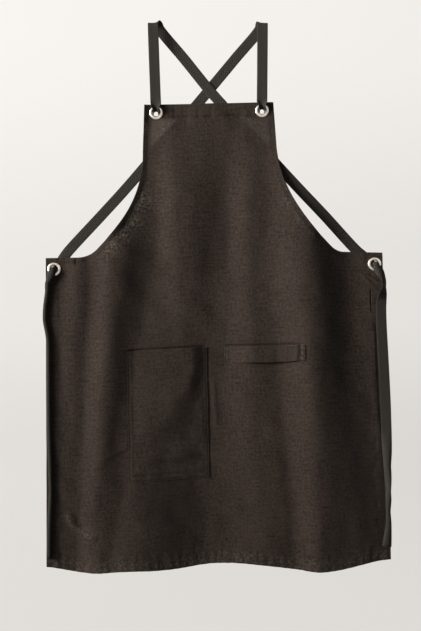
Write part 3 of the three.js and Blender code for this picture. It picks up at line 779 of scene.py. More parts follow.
hem_lines = []
for edge, width in TURNING.items():
    for line in turning_line(edge, width - SEAM_IN):
        across, drop = resampled(line, HEM_LINE_STEP).T
        line_front, line_back = panel_faces(across, drop)
        hem_lines += [on_cloth(across, drop, line_front + STITCH_PROUD),
                      on_cloth(across, drop, line_back - STITCH_PROUD)]
hem_stitches = sewn_seams("hem_stitches", hem_lines)


# Patch pocket. A rectangle of the same linen, its top edge turned in, sewn on along both sides and
# the bottom with two rows of stitches. It stands a little open at the top and hangs slightly askew.
# Its sides are turned in under the seams, and its weave lies a little off the panel's.
POCKET = PATCHES["pocket"]
POCKET_TURNING = {"depth": 0.022, "ply": 0.0003, "step": 0.0008}
POCKET_SEAMS = (0.0022, 0.0098)
POCKET_SEAM_SHADE = {"depth": 0.65, "half": 0.0014}
POCKET_LAP = {"full": 0.0110, "gone": 0.0130, "ply": 0.0004}
POCKET_PUCKER = {"reach": 0.010, "height": 0.00016, "closer": 1.3}
POCKET_STEPS = (0.0022, 0.0024)
POCKET_CUT_SHIFT = (0.0007, 0)
FOOT_SEAMS_WIDER = 1.35
# Painted shade laid evenly over the whole pocket
POCKET_PAINTED_SHADE = 0.14
SEAM_DRAW = 0.0007
SEAM_LINE_STEP = 0.002
SEWN_ON_GAP = 0.00012
STITCH_PROUD_BEHIND = STITCH_THICK * 0.1

# The pocket bags out most at the right of its mouth and, lower down, further left; it sags in a soft roll
# over its bottom seam. Crest and reaches are for the mouth and for "low", measured from its left edge.
POUCH = {"high": 0.035, "low": 0.150, "crest": (0.121, 0.068), "left": (0.111, 0.058),
         "right": (0.030, 0.060), "rise": (0.0072, 0.0088), "fades": 0.130, "gone": 0.190}
POCKET_ROLL = {"at": 0.203, "above": 0.034, "below": 0.019, "rise": 0.0042, "sides": (0.012, 0.050)}
POCKET_DENT = {"across": 0.031, "down": 0.073, "wide": 0.007, "long": 0.018, "depth": 0.0016}


def edge_spaced(width, step):
    """Distances from 0 to a width: an even step inside, closer near both edges."""
    inner = np.linspace(EDGE_LINES[-1], width - EDGE_LINES[-1], int(round(width / step)))
    return np.concatenate([EDGE_LINES[:-1], inner, width - np.array(EDGE_LINES[-2::-1])])


def grid_faces(columns, rows):
    """Faces of a grid whose points run along its rows, seen from the front."""
    first = (np.arange(rows - 1)[:, None] * columns + np.arange(columns - 1)).ravel()
    return np.stack([first, first + columns, first + columns + 1, first + 1], 1)


def patch_size(patch):
    return patch["right"] - patch["left"], patch["bottom"] - patch["top"]


def patch_grid(size, steps):
    """Points over a patch from its left and its top, their distance from its edge, and its faces."""
    from_left, from_top = np.meshgrid(*(edge_spaced(*side) for side in zip(size, steps)))
    faces = grid_faces(*from_left.shape[::-1])
    from_left, from_top = from_left.ravel(), from_top.ravel()
    nearest = np.minimum.reduce([from_left, size[0] - from_left, from_top, size[1] - from_top])
    return from_left, from_top, nearest, faces


pocket_size = pocket_width, pocket_height = patch_size(POCKET)


def pouch_at(from_left, from_top):
    """How far the pocket stands off the panel."""
    down = smooth(from_top, POUCH["high"], POUCH["low"])
    crest, left, right, rise = (between(POUCH[k], down) for k in ("crest", "left", "right", "rise"))
    bag = rise * swell(from_left - crest, left, right) * (1 - smooth(from_top, POUCH["fades"], POUCH["gone"]))
    roll = swell(from_top - POCKET_ROLL["at"], POCKET_ROLL["above"], POCKET_ROLL["below"])
    from_side = np.minimum(from_left, pocket_width - from_left)
    roll = POCKET_ROLL["rise"] * roll * smooth(from_side, *POCKET_ROLL["sides"])
    dent = POCKET_DENT["depth"] * ridge(from_left - POCKET_DENT["across"], POCKET_DENT["wide"])
    dent = dent * ridge(from_top - POCKET_DENT["down"], POCKET_DENT["long"])
    return bag + roll - np.minimum(dent, bag)


def pocket_place(from_left, from_top):
    """A point of the pocket on the panel's cut, and how far its seat stands off there."""
    across = POCKET["left"] + from_left
    drop = POCKET["top"] + from_top + (0.5 - from_left / pocket_width) * POCKET["lean"]
    return across, drop, LINEN_PLY / 2 + SEWN_ON_GAP + pouch_at(from_left, from_top)


def from_sewn_edge(from_left, from_top):
    """How far in from the pocket's sewn edges, counted shorter at the foot, where its seams are wider."""
    from_side = np.minimum(from_left, pocket_width - from_left)
    return np.minimum(from_side, (pocket_height - from_top) / FOOT_SEAMS_WIDER)


def pocket_face(from_left, from_top):
    """The pocket's front, as a distance in front of its seat."""
    from_sewn = from_sewn_edge(from_left, from_top)
    doubled = 1 - smooth(from_top, POCKET_TURNING["depth"], POCKET_TURNING["depth"] + POCKET_TURNING["step"])
    lapped = 1 - smooth(from_sewn, POCKET_LAP["full"], POCKET_LAP["gone"])
    front = LINEN_PLY + POCKET_LAP["ply"] * lapped + POCKET_TURNING["ply"] * doubled
    for seam in POCKET_SEAMS:
        front = front - SEAM_DRAW * ridge(from_sewn - seam, SEAM_RELIEF["half"])
    pucker = POCKET_PUCKER["height"] * ridge(from_sewn - POCKET_SEAMS[1], POCKET_PUCKER["reach"])
    closer = POCKET_PUCKER["closer"]
    return front + pucker * waves(PUCKERS, from_left * closer, from_top * closer)


from_left, from_top, nearest, faces = patch_grid(pocket_size, POCKET_STEPS)
across, drop, seat = pocket_place(from_left, from_top)
front_off = pocket_face(from_left, from_top)
front_off, back_off = rounded_edge(front_off, 0 * front_off, nearest)
from_sewn = from_sewn_edge(from_left, from_top)
# Painted shade along the pocket's seam rows, and a little over all of it
sewn_at = np.maximum.reduce([
    POCKET_SEAM_SHADE["depth"] * ridge(from_sewn - seam, POCKET_SEAM_SHADE["half"]) for seam in POCKET_SEAMS])
pocket = two_faced_piece("pocket_linen", on_cloth(across, drop, seat + front_off),
                         on_cloth(across, drop, seat + back_off), faces,
                         np.stack([across, drop], 1) + POCKET_CUT_SHIFT, linen,
                         sewn=np.maximum(sewn_at, POCKET_PAINTED_SHADE))
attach(pocket, "root")
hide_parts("pocket")

POCKET_ROW_BELOW_TOP = 0.002
pocket_lines = []
for seam in POCKET_SEAMS:
    right, foot = pocket_width - seam, pocket_height - seam * FOOT_SEAMS_WIDER
    corners = [[seam, POCKET_ROW_BELOW_TOP], [seam, foot], [right, foot], [right, POCKET_ROW_BELOW_TOP]]
    line = resampled(corners, SEAM_LINE_STEP).T
    across, drop, seat = pocket_place(*line)
    pocket_lines += [on_cloth(across, drop, seat + pocket_face(*line) + STITCH_PROUD),
                     on_cloth(across, drop, panel_faces(across, drop)[1] - STITCH_PROUD_BEHIND)]
pocket_stitches = sewn_seams("pocket_stitches", pocket_lines, pitch=0.0028, length=0.0022)


# Towel loop. A strip of the linen folded into a double band and sewn to the skirt at its two ends, so
# that it stands off between them and its lower edge bows down a little.
# It sags most along its bottom, gapes from both ends to its middle and has a wedge-shaped step on the right.
LOOP = PATCHES["loop"]
LOOP_SAG = (0.0012, 0.0030)
LOOP_GAPE = {"out": 0.0046, "ends": (0.0125, 0.060)}
LOOP_STEP = {"out": 0.0034, "from": 0.0100, "to": 0.0118, "wedge": 0.0018}
LOOP_PLY = 0.0020
# Painted highlight on the raised sewn ends, and painted shade along the seam rows
LOOP_END_SHEEN = {"strength": 0.30, "full": 0.0105, "gone": 0.0125}
LOOP_SEAMS = (0.0020, 0.0088)
LOOP_SEAM_SHADE = {"depth": 0.6, "half": 0.0012}
LOOP_STEPS = (0.0020, 0.0020)
LOOP_CUT_SHIFT = (0, 0.0004)
loop_size = loop_width, loop_height = patch_size(LOOP)


def loop_place(from_left, from_top):
    """A point of the loop on the panel's cut, and how far its seat stands off there."""
    low = from_top / loop_height
    drop = LOOP["top"] + from_top + between(LOOP_SAG, low) * np.sin(np.pi * from_left / loop_width)
    from_right = loop_width - from_left
    wedge = LOOP_STEP["wedge"] * low
    step = LOOP_STEP["out"] * smooth(from_right, LOOP_STEP["from"] + wedge, LOOP_STEP["to"] + wedge)
    open_by = LOOP_GAPE["out"] * smooth(from_right, *LOOP_GAPE["ends"]) + step
    open_by = open_by * smooth(from_left, *LOOP_GAPE["ends"])
    return LOOP["left"] + from_left, drop, LINEN_PLY / 2 + SEWN_ON_GAP + open_by


def loop_face(from_left):
    """The loop's front, as a distance in front of its seat."""
    from_end = np.minimum(from_left, loop_width - from_left)
    return LOOP_PLY - sum(SEAM_DRAW * ridge(from_end - seam, SEAM_RELIEF["half"]) for seam in LOOP_SEAMS)


from_left, from_top, nearest, faces = patch_grid(loop_size, LOOP_STEPS)
across, drop, seat = loop_place(from_left, from_top)
front_off = loop_face(from_left)
front_off, back_off = rounded_edge(front_off, 0 * front_off, nearest)
from_end = np.minimum(from_left, loop_width - from_left)
# Painted shade along the seam rows and painted highlight on the sewn ends
sewn_at = np.maximum.reduce([
    LOOP_SEAM_SHADE["depth"] * ridge(from_end - seam, LOOP_SEAM_SHADE["half"]) for seam in LOOP_SEAMS])
end_sheen = LOOP_END_SHEEN["strength"] * (1 - smooth(from_end, LOOP_END_SHEEN["full"], LOOP_END_SHEEN["gone"]))
loop = two_faced_piece("towel_loop_linen", on_cloth(across, drop, seat + front_off),
                       on_cloth(across, drop, seat + back_off), faces,
                       np.stack([across, drop], 1) + LOOP_CUT_SHIFT, linen, sewn=sewn_at, rubbed=end_sheen)
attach(loop, "root")
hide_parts("towel_loop")

LOOP_ROW_IN = 0.0015
loop_lines = []
for seam in (*LOOP_SEAMS, *(loop_width - s for s in LOOP_SEAMS)):
    line = resampled([[seam, LOOP_ROW_IN], [seam, loop_height - LOOP_ROW_IN]], SEAM_LINE_STEP).T
    across, drop, seat = loop_place(*line)
    loop_lines += [on_cloth(across, drop, seat + loop_face(line[0]) + STITCH_PROUD),
                   on_cloth(across, drop, panel_faces(across, drop)[1] - STITCH_PROUD_BEHIND)]
loop_stitches = sewn_seams("loop_stitches", loop_lines, pitch=0.0026, length=0.0021)


# Eyelets. Four pressed nickel rings with a crowned flange, each with a barrel through the cloth that is
# rolled over a plain washer behind. The two at the bib take the sewn ends, the two at the sides the ties.
EYELET_HOLE = 0.0065
EYELET_WALL = 0.0008
EYELET_FLANGE = 0.0130
EYELET_CROWN = 0.0026
EYELET_ROLL = 0.0008
EYELET_STEPS = 72
CROWN_LIFT = 0.0002
RIM_BREAK = (0.0001, 0.0006)
BARREL_BREAK = (0.0004, 0.0003)
WASHER_THICK = 0.0009
WASHER_CLEAR = 0.0001
WASHER_BREAK = 0.0003
NICKEL_DARK = (0.44, 0.40, 0.34, 1)
NICKEL_LIGHT = (0.82, 0.76, 0.66, 1)
NICKEL_TONES = (0.25, 0.60)
NICKEL_ROUGH = (0.40, 0.22)

nickel, tree, surface = shader("brushed_nickel")
in_place = add_node(tree, "ShaderNodeTexCoord").outputs["Object"]
smudge = stretched_noise(tree, in_place, (160, 160, 160), 4.0, 0.6)
scratch = stretched_noise(tree, in_place, (2600, 900, 500), 3.0, 0.65)
set_inputs(tree, surface, Base_Color=two_tone(tree, smudge, NICKEL_DARK, NICKEL_LIGHT, NICKEL_TONES),
           Roughness=ranged(tree, smudge, (0.3, 0.7), NICKEL_ROUGH),
           Normal=bumped(tree, scratch, strength=0.12, distance=0.0002), Metallic=1.0)

setting, given = geometry_tree("set_of_eyelets", {
    "One Eyelet": ("Geometry",), **{eyelet["name"]: ("Vector",) for eyelet in EYELETS},
    "Metal": ("Material",),
}, "Eyelets")
spots = setting.nodes.new("GeometryNodeJoinGeometry")
for eyelet in EYELETS:
    spot = add_node(setting, "GeometryNodePoints", Count=1, Position=given.outputs[eyelet["name"]]).outputs[0]
    setting.links.new(spot, spots.inputs[0])
placed = add_node(setting, "GeometryNodeInstanceOnPoints", Points=spots.outputs[0],
                  Instance=given.outputs["One Eyelet"]).outputs[0]
finish_tree(setting, placed, given.outputs["Metal"], "Eyelets")


def eyelet_seat(eyelet):
    return on_apron(np.array(eyelet["across"]), np.array(eyelet["drop"]), np.array(0.0))


def turned_eyelets(name, section, nodes):
    """A closed section of radius and distance forward, turned round and set at the four places."""
    angles = np.linspace(0, 2 * math.pi, EYELET_STEPS + 1)[:-1]
    section = np.asarray(section)
    count = len(section)
    places = np.stack([
        section[None, :, 0] * np.cos(angles)[:, None],
        np.broadcast_to(-section[None, :, 1], (EYELET_STEPS, count)),
        section[None, :, 0] * np.sin(angles)[:, None],
    ], -1).reshape(-1, 3)
    faces = []
    for i in range(EYELET_STEPS):
        here, there = i * count, (i + 1) % EYELET_STEPS * count
        faces += [(here + j, here + k, there + k, there + j) for j, k in enumerate([*range(1, count), 0])]
    mesh = bpy.data.meshes.new(name)
    mesh.from_pydata(places.tolist(), [], faces)
    net = bmesh.new()
    net.from_mesh(mesh)
    bmesh.ops.recalc_face_normals(net, faces=net.faces)
    net.to_mesh(mesh)
    net.free()
    piece = made_by(setting, name, mesh, Metal=nickel, **{e["name"]: tuple(eyelet_seat(e)) for e in EYELETS})
    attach(piece, "root")
    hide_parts(*nodes)
    return piece


def arc(centre, radii, start, end, steps):
    angles = np.radians(np.linspace(start, end, steps))
    return [(centre[0] + radii[0] * math.cos(a), centre[1] + radii[1] * math.sin(a)) for a in angles]


eyelet_front = LINEN_PLY / 2 + SHOWN_PLY["height"]
eyelet_back = -LINEN_PLY / 2 - TURNED_PLY
barrel = EYELET_HOLE + EYELET_WALL
crown_middle = (EYELET_HOLE + EYELET_FLANGE) / 2
crown_half = (EYELET_FLANGE - EYELET_HOLE) / 2
washer_back = eyelet_back - WASHER_THICK
roll_middle = washer_back - EYELET_ROLL
ring_section = (
    arc((crown_middle, eyelet_front + CROWN_LIFT), (crown_half, EYELET_CROWN), 180, 0, 17)
    + [(EYELET_FLANGE - RIM_BREAK[0], eyelet_front), (EYELET_FLANGE - RIM_BREAK[1], eyelet_front),
       (barrel + BARREL_BREAK[0], eyelet_front), (barrel, eyelet_front - BARREL_BREAK[1]),
       (barrel, washer_back)]
    + arc((barrel + EYELET_ROLL, roll_middle), (EYELET_ROLL, EYELET_ROLL), 90, -90, 7)
    + arc((barrel + EYELET_WALL / 2, roll_middle), (EYELET_WALL * 1.5, EYELET_ROLL), -90, -180, 5)
)
washer_section = [
    (barrel + WASHER_CLEAR, eyelet_back), (EYELET_FLANGE - WASHER_BREAK, eyelet_back),
    (EYELET_FLANGE, eyelet_back - WASHER_BREAK), (EYELET_FLANGE - RIM_BREAK[0], eyelet_back - RIM_BREAK[1]),
    (EYELET_FLANGE - sum(RIM_BREAK), washer_back), (barrel + WASHER_CLEAR, washer_back),
]
turned_eyelets("eyelet_rings", ring_section, [f"ring_{e['name']}" for e in EYELETS])
turned_eyelets("eyelet_washers", washer_section, [f"washer_{e['name']}" for e in EYELETS])


# Straps. Two lengths of dark cotton herringbone tape. Each is sewn back on itself through a bib eyelet, goes
# up and bends back, crosses the other behind and comes forward through the far side eyelet as a tie.
TAPE = {"width": 0.020, "thick": 0.0013, "columns": 15, "steps": 10}
FULL_CURL = 4.1
LEAST_CURL = 0.01
BEND = {"inside": 0.008, "middle": 0.00875, "steps": 4, "turns_from": 0.25}

# Where each strap bends back at its top, and how far it shifts sideways in the bend
BIGHT = {"left": {"x": -0.1044, "shift": 0.011}, "right": {"x": 0.1028, "shift": -0.0045}}


def table(names, rows):
    """Rows of values, each value under its name."""
    return [dict(zip(names.split(), row)) for row in rows]


# At a bib eyelet: height above the hole along the strap, distance in front of the cloth, roll
BIB_LOOP = table("rise forward curl", [
    (0.047, 0.0019, 0),
    (0.038, 0.0015, 0),
    (0.03, 0.0006, 0),
    (0.02, -0.0031, 0.1),
    (0.013, -0.0068, 0.4),
    (0.006, -0.0096, 0.85),
    (0.0006, -0.0062, 1),
    (0, -0.0005, 1),
    (0.0006, 0.0052, 1),
    (0.006, 0.0084, 0.85),
    (0.012, 0.007, 0.45),
    (0.02, 0.0047, 0.1),
    (0.03, 0.0036, 0),
    (0.047, 0.0041, 0),
])

# Back run from the bight to the opposite side: distances across, down from the inside of its bend and behind
BACK_RUN = {
    "left": table("x fall behind", [
        (-0.0461, 0.0656, 0.0064),
        (0.0024, 0.126, 0.005),
        (0.0243, 0.151, 0.0047),
        (0.1653, 0.3069, -0.003),
        (0.2196, 0.3639, -0.0015),
        (0.2837, 0.4323, 0.0046),
    ]),
    "right": table("x fall behind", [
        (0.051, 0.0656, 0.0082),
        (0.0009, 0.126, 0.0073),
        (-0.02, 0.151, 0.0068),
        (-0.1511, 0.3069, 0.0044),
        (-0.2028, 0.3639, 0.0042),
        (-0.266, 0.4323, 0.0046),
    ]),
}

# At a side eyelet: distance before the hole along the back run, then beyond it along the tie, distance in
# front of the cloth, roll
SIDE_LEAD = table("reach forward curl", [
    (0.026, -0.0064, 0.2),
    (0.014, -0.009, 0.55),
    (0.005, -0.01, 0.9),
    (0.0004, -0.006, 1),
    (0, -0.0005, 1),
])
SIDE_LAY = table("reach forward curl", [
    (0.0004, 0.0052, 1),
    (0.005, 0.009, 0.9),
    (0.012, 0.0092, 0.55),
])

# Free tie ends, named for the side they hang at: how far below the hole and outwards from it, how far in
# front of the cloth, how far the tape is turned edge-on in degrees, and its roll
TIE = {
    "left": table("below out stand turn curl", [
        (0.0266, 0.0118, 0.0066, 50, 1.15),
        (0.0437, 0.0126, 0.0056, 75, 1.3),
        (0.0722, 0.0162, 0.0048, 82, 1.4),
        (0.097, 0.0168, 0.0048, 85, 1.4),
        (0.132, 0.011, 0.0048, 85, 1.4),
        (0.2014, 0.0099, 0.0048, 85, 1.4),
        (0.2869, 0.0092, 0.0048, 85, 1.4),
        (0.3724, 0.0068, 0.0048, 85, 1.4),
        (0.4294, 0.0058, 0.0048, 90, 1.4),
        (0.486, 0.008, 0.005, 95, 1.35),
        (0.5491, 0.009, 0.0054, 100, 1.3),
    ]),
    "right": table("below out stand turn curl", [
        (0.0266, 0.016, 0.0096, -56, 0.2),
        (0.0441, 0.0174, 0.0106, -62, 0.15),
        (0.056, 0.0152, 0.0098, -38, 0.05),
        (0.072, 0.0122, 0.0078, -8, 0),
        (0.115, 0.0126, 0.0066, -6, 0),
        (0.1543, 0.0148, 0.0062, -6, 0),
        (0.2113, 0.0178, 0.0062, -5, 0),
        (0.2683, 0.0204, 0.0062, -3, 0),
        (0.311, 0.0216, 0.0064, 0, 0),
        (0.3538, 0.0228, 0.0072, 10, 0.4),
        (0.384, 0.023, 0.008, 16, 0.75),
        (0.431, 0.0236, 0.0108, 70, 0.6),
        (0.47, 0.025, 0.0068, 25, 1.25),
        (0.5, 0.026, 0.0066, -8, 0.9),
        (0.5362, 0.0224, 0.0066, -8, 0.3),
    ]),
}
TAPE_DARK = (0.0090, 0.0080, 0.0068, 1)
TAPE_LIGHT = (0.0490, 0.0437, 0.0366, 1)
TAPE_TONES = (0.25, 0.80)
HERRINGBONE = {"column": 0.005, "slope": 1.4, "rib": 0.0056}

tape, tree, surface = shader("herringbone_tape")
on_cut = add_node(tree, "ShaderNodeUVMap", {"uv_map": "cut"}).outputs[0]
from_edge, along = add_node(tree, "ShaderNodeSeparateXYZ", Vector=on_cut).outputs[:2]
chevron = math_node(tree, "PINGPONG", math_node(tree, "ADD", from_edge, 1.0), HERRINGBONE["column"])
slanted = weighted(tree, (chevron, HERRINGBONE["slope"]), (along, 1.0))
rib = math_node(tree, "SINE", math_node(tree, "MULTIPLY", slanted, math.pi / HERRINGBONE["rib"]))
rib = math_node(tree, "ABSOLUTE", rib)
# Painted light: every other column a shade lighter, as the herringbone's columns catch the light differently
column = math_node(tree, "SINE", math_node(tree, "MULTIPLY", from_edge, math.pi / HERRINGBONE["column"]))
column = math_node(tree, "GREATER_THAN", column, 0.0)
cotton = stretched_noise(tree, on_cut, (900, 160, 1), 3.0)
cloud = stretched_noise(tree, on_cut, (30, 12, 1), 2.0)
shade = weighted(tree, (rib, 0.62), (cotton, 0.26), (cloud, 0.12), (column, 0.06))
set_inputs(tree, surface, Base_Color=two_tone(tree, shade, TAPE_DARK, TAPE_LIGHT, TAPE_TONES),
           Normal=bumped(tree, shade, strength=0.5, distance=0.0004), Roughness=0.80,
           Specular_IOR_Level=0.07, Sheen_Weight=0.03)


def in_front(point, forward):
    return np.array([point[0], -forward, point[2]])


def unit(vector):
    return vector / np.linalg.norm(vector)


def across_run(run):
    return unit(np.array([-run[2], 0, run[0]]))


def level(vector):
    return np.array([vector[0], 0, vector[2]])


def strap_stations(start, end):
    """Places, width directions and rolls from the sewn end at one bib eyelet to the tip of the tie."""
    holes = {eyelet["name"]: eyelet_seat(eyelet) for eyelet in EYELETS}
    bib_hole, side_hole = holes[f"bib_{start}"], holes[f"side_{end}"]
    bight = np.array([BIGHT[start]["x"], 0, 0])
    flat = np.array([1.0, 0, 0])
    up = unit(level(bight - bib_hole))
    stations = [(in_front(bib_hole + up * s["rise"], s["forward"]), flat, s["curl"]) for s in BIB_LOOP]
    back_run = [np.array([s["x"], s["behind"], -s["fall"]]) for s in BACK_RUN[start]]
    slant = across_run(level(back_run[0] - bight))
    for share in np.linspace(0, 1, BEND["steps"] + 1):
        turn_over = smooth(share, BEND["turns_from"], 1)
        at = np.array([bight[0] + BIGHT[start]["shift"] * turn_over,
                       -BEND["middle"] * math.cos(math.pi * share),
                       BEND["middle"] * math.sin(math.pi * share) - BEND["inside"]])
        stations.append((at, flat + (slant - flat) * turn_over, 0))
    route = [bight, *back_run, side_hole]
    stations += [(at, across_run(level(route[i + 2] - route[i])), 0) for i, at in enumerate(back_run)]
    lead = unit(level(side_hole - back_run[-1]))
    lay = unit(np.array([SIDES[end] * TIE[end][0]["out"], 0, -TIE[end][0]["below"]]))
    stations += [(in_front(side_hole - lead * s["reach"], s["forward"]), across_run(lead), s["curl"])
                 for s in SIDE_LEAD]
    stations += [(in_front(side_hole + lay * s["reach"], s["forward"]), across_run(lay), s["curl"])
                 for s in SIDE_LAY]
    for s in TIE[end]:
        x, z = side_hole[0] + SIDES[end] * s["out"], side_hole[2] - s["below"]
        from_middle, from_top = x - BIB_MIDDLE_X, z - BIB_TOP_Z
        across = from_middle * math.cos(HANG_TILT) + from_top * math.sin(HANG_TILT)
        drop = from_middle * math.sin(HANG_TILT) - from_top * math.cos(HANG_TILT)
        angle = math.radians(s["turn"])
        at = in_front(np.array([x, 0, z]), float(fold_at(across, drop)) + s["stand"])
        stations.append((at, np.array([math.cos(angle), -math.sin(angle), 0]), s["curl"]))
    return stations


def curve_through(points, steps):
    """Places and directions along a smooth curve through points, a fixed number of steps to a span."""
    points = np.asarray(points)
    ends = np.vstack([2 * points[0] - points[1], points, 2 * points[-1] - points[-2]])
    places, runs = [], []
    for p0, p1, p2, p3 in zip(ends[:-3], ends[1:-2], ends[2:-1], ends[3:]):
        t0, t1, t2 = (math.sqrt(np.linalg.norm(b - a)) for a, b in ((p0, p1), (p1, p2), (p2, p3)))
        leave = t1 * ((p1 - p0) / t0 - (p2 - p0) / (t0 + t1) + (p2 - p1) / t1)
        arrive = t1 * ((p2 - p1) / t1 - (p3 - p1) / (t1 + t2) + (p3 - p2) / t2)
        share = (np.arange(steps) / steps)[:, None]
        square, cube = -3 * p1 + 3 * p2 - 2 * leave - arrive, 2 * p1 - 2 * p2 + leave + arrive
        places.append(p1 + leave * share + square * share**2 + cube * share**3)
        runs.append(leave + 2 * square * share + 3 * cube * share**2)
    places.append(points[-1:])
    runs.append(runs[-1][-1:])
    return np.vstack(places), np.vstack(runs)


def strap_tape(name, start, end):
    """Sweeps the tape along its stations; where it is rolled its width follows an arc."""
    stations = strap_stations(start, end)
    at, run = curve_through([s[0] for s in stations], TAPE["steps"])
    run = run / np.linalg.norm(run, axis=1)[:, None]
    spans = np.arange(len(stations))
    share = np.linspace(0, len(stations) - 1, len(at))
    wide = np.stack([np.interp(share, spans, [s[1][k] for s in stations]) for k in range(3)], 1)
    wide = wide - run * (wide * run).sum(1)[:, None]
    wide = wide / np.linalg.norm(wide, axis=1)[:, None]
    face = np.cross(run, wide)
    curl = np.maximum(np.interp(share, spans, [s[2] for s in stations]), LEAST_CURL) * FULL_CURL
    along = np.concatenate([[0], np.cumsum(np.linalg.norm(np.diff(at, axis=0), axis=1))])
    columns = edge_spaced(TAPE["width"], TAPE["width"] / TAPE["columns"])

    def tape_place(rows, from_edge, skin):
        radius = TAPE["width"] / curl[rows]
        angle = (from_edge / TAPE["width"] - 0.5) * curl[rows]
        hollow = radius * (1 - np.cos(curl[rows] / 2))
        out = (radius + skin) * np.sin(angle)
        off = (radius + skin) * np.cos(angle) - radius + hollow / 2
        return at[rows] + wide[rows] * out[:, None] + face[rows] * off[:, None]

    rows = np.repeat(np.arange(len(at)), len(columns))
    from_edge = np.tile(columns, len(at))
    nearest = np.minimum(from_edge, TAPE["width"] - from_edge)
    nearest[(rows == 0) | (rows == len(at) - 1)] = 0
    half = np.full(len(rows), TAPE["thick"] / 2)
    skin, under = rounded_edge(half, -half, nearest)
    cut_map = np.stack([from_edge, along[rows]], 1)
    strap = two_faced_piece(name, tape_place(rows, from_edge, skin), tape_place(rows, from_edge, under),
                            grid_faces(len(columns), len(at))[:, ::-1], cut_map, tape)
    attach(strap, "root")
    return strap, along[-1], tape_place, len(at)


# Stitches of a strap: a box through both layers at the sewn end, and two rows across the tip of the tie.
# Rows of the tape are counted from its sewn end, and those of the tip from its other end.
SEWN_BOX = {"front": (122, 129), "back": (2, 16)}
TIP_ROWS = (-2, -4)
BOX_IN = 0.0028
TIP_IN = 0.0015
TIP_POINTS = 9


def rows_of_stitches(tape_place, count):
    half = TAPE["thick"] / 2 + STITCH_PROUD
    edges_in = np.array([BOX_IN, TAPE["width"] - BOX_IN])
    lines = []
    for first, last in SEWN_BOX.values():
        rows = np.array([first, first, last, last, first])
        lines.append(tape_place(rows, edges_in[[0, 1, 1, 0, 0]], np.full(len(rows), -half)))
    across_tip = np.linspace(TIP_IN, TAPE["width"] - TIP_IN, TIP_POINTS)
    for row in TIP_ROWS:
        rows = np.full(TIP_POINTS, count + row)
        lines += [tape_place(rows, across_tip, np.full(TIP_POINTS, skin)) for skin in (half, -half)]
    return lines


for start, end in (("left", "right"), ("right", "left")):
    strap, length, tape_place, count = strap_tape(f"tape_from_{start}", start, end)
    strap_lines = rows_of_stitches(tape_place, count)
    strap_stitches = sewn_seams(f"strap_stitches_{start}", strap_lines, pitch=0.0025)
    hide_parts(f"strap_{start}")


# Studio: a wide pale bowl of board with its floor well below the hem that glows with painted light, paler
# upwards and to the left; one broad soft light from the left, a second one from behind, a faint light all
# round.
BOWL = {"floor": -1.36, "flat": 3.2, "sweep": 2.4, "top": 6.0, "rings": (0.6, 1.6), "steps": 96,
        "sweep_points": 24}
BOWL_GLOW = {"heights": (-1.40, 1.60), "right": -0.022, "patches": 0.02, "tint": (1.0, 0.972, 0.927, 1)}
BOWL_GLOW_SHARES = ((0.0, 0.70), (0.30, 0.79), (1.0, 0.90))
BOWL_BOARD = (0.05, 0.048, 0.046, 1)
FAINT_LIGHT = {"Color": (1.0, 0.98, 0.95, 1), "Strength": 0.08}
SOFT_LIGHT_COLOUR = (1.0, 0.985, 0.96)

board, tree, surface = shader("pale_board")
in_place = add_node(tree, "ShaderNodeTexCoord").outputs["Object"]
patch = stretched_noise(tree, in_place, (0.6, 0.6, 0.6), 2.0)
place = add_node(tree, "ShaderNodeSeparateXYZ", Vector=in_place)
tone = add_node(tree, "ShaderNodeValToRGB", Fac=ranged(tree, place.outputs[2], BOWL_GLOW["heights"]))
tone.color_ramp.interpolation = "EASE"
tone.color_ramp.elements.new(BOWL_GLOW_SHARES[1][0])
for stop, (share, strength) in zip(tone.color_ramp.elements, BOWL_GLOW_SHARES):
    stop.position, stop.color = share, (strength, strength, strength, 1)
glow = weighted(tree, (tone.outputs[0], 1.0), (place.outputs[0], BOWL_GLOW["right"]),
                (patch, BOWL_GLOW["patches"]))
set_inputs(tree, surface, Emission_Strength=glow, Emission_Color=BOWL_GLOW["tint"], Base_Color=BOWL_BOARD,
           Roughness=0.9, Specular_IOR_Level=0.0)

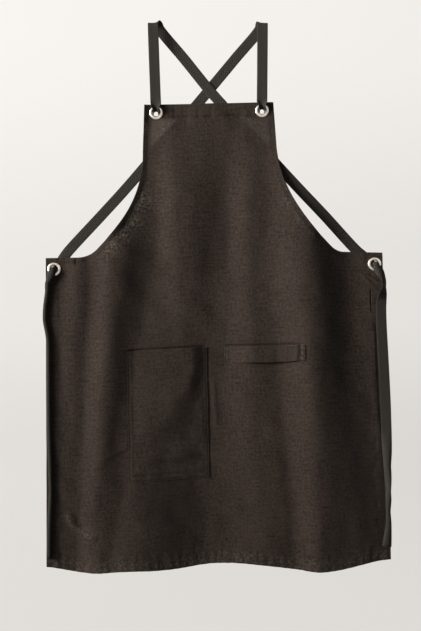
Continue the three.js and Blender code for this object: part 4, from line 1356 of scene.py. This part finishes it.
sweep = [(BOWL["flat"] + BOWL["sweep"] * math.sin(a), BOWL["floor"] + BOWL["sweep"] * (1 - math.cos(a)))
         for a in np.linspace(0, math.pi / 2, BOWL["sweep_points"])]
bowl_line = [*((ring, BOWL["floor"]) for ring in BOWL["rings"]), *sweep,
             (BOWL["flat"] + BOWL["sweep"], BOWL["top"])]
bowl_mesh = bpy.data.meshes.new("studio_bowl")
net = bmesh.new()
centre = net.verts.new((0, 0, BOWL["floor"]))
turns = [[net.verts.new((r * math.cos(a), r * math.sin(a), z)) for r, z in bowl_line]
         for a in np.linspace(0, 2 * math.pi, BOWL["steps"] + 1)[:-1]]
for here, there in zip(turns, turns[1:] + turns[:1]):
    net.faces.new((centre, here[0], there[0]))
    for j in range(len(bowl_line) - 1):
        net.faces.new((here[j], here[j + 1], there[j + 1], there[j]))
net.to_mesh(bowl_mesh)
net.free()
bowl_mesh.polygons.foreach_set("use_smooth", np.ones(len(bowl_mesh.polygons), bool))
bowl_mesh.materials.append(board)
bowl = bpy.data.objects.new("studio_bowl", bowl_mesh)
bpy.context.scene.collection.objects.link(bowl)
bowl.visible_shadow = False
bowl.visible_diffuse = False

world = bpy.data.worlds.new("faint_light")
world.use_nodes = True
set_inputs(world.node_tree, world.node_tree.nodes["Background"], **FAINT_LIGHT)
bpy.context.scene.world = world


def soft_box(name, at, towards, size, power, spread):
    light = bpy.data.lights.new(name, "AREA")
    light.shape = "DISK"
    light.size = size
    light.energy = power
    light.spread = math.radians(spread)
    light.color = SOFT_LIGHT_COLOUR
    box = bpy.data.objects.new(name, light)
    box.location = at
    box.rotation_mode = "QUATERNION"
    box.rotation_quaternion = (Vector(towards) - Vector(at)).to_track_quat("-Z", "Y")
    box.visible_camera = False
    bpy.context.scene.collection.objects.link(box)


soft_box("broad_light", at=(-4.3, -2.2, 0.9), towards=(0, 0, 0.32), size=3.2, power=62, spread=40)
soft_box("light_from_behind", at=(-2.9, 4.2, 0.8), towards=(0, 0, -0.5), size=1.6, power=75, spread=120)

camera = bpy.data.cameras.new("photo_camera")
camera.sensor_width = 36
camera.lens = 60.05
camera_at = bpy.data.objects.new("photo_camera", camera)
camera_at.location = (0.004275, -2.0, -0.5548)
camera_at.rotation_euler = (math.pi / 2, 0, 0)
bpy.context.scene.collection.objects.link(camera_at)
bpy.context.scene.camera = camera_at
bpy.context.scene.view_settings.view_transform = "Standard"
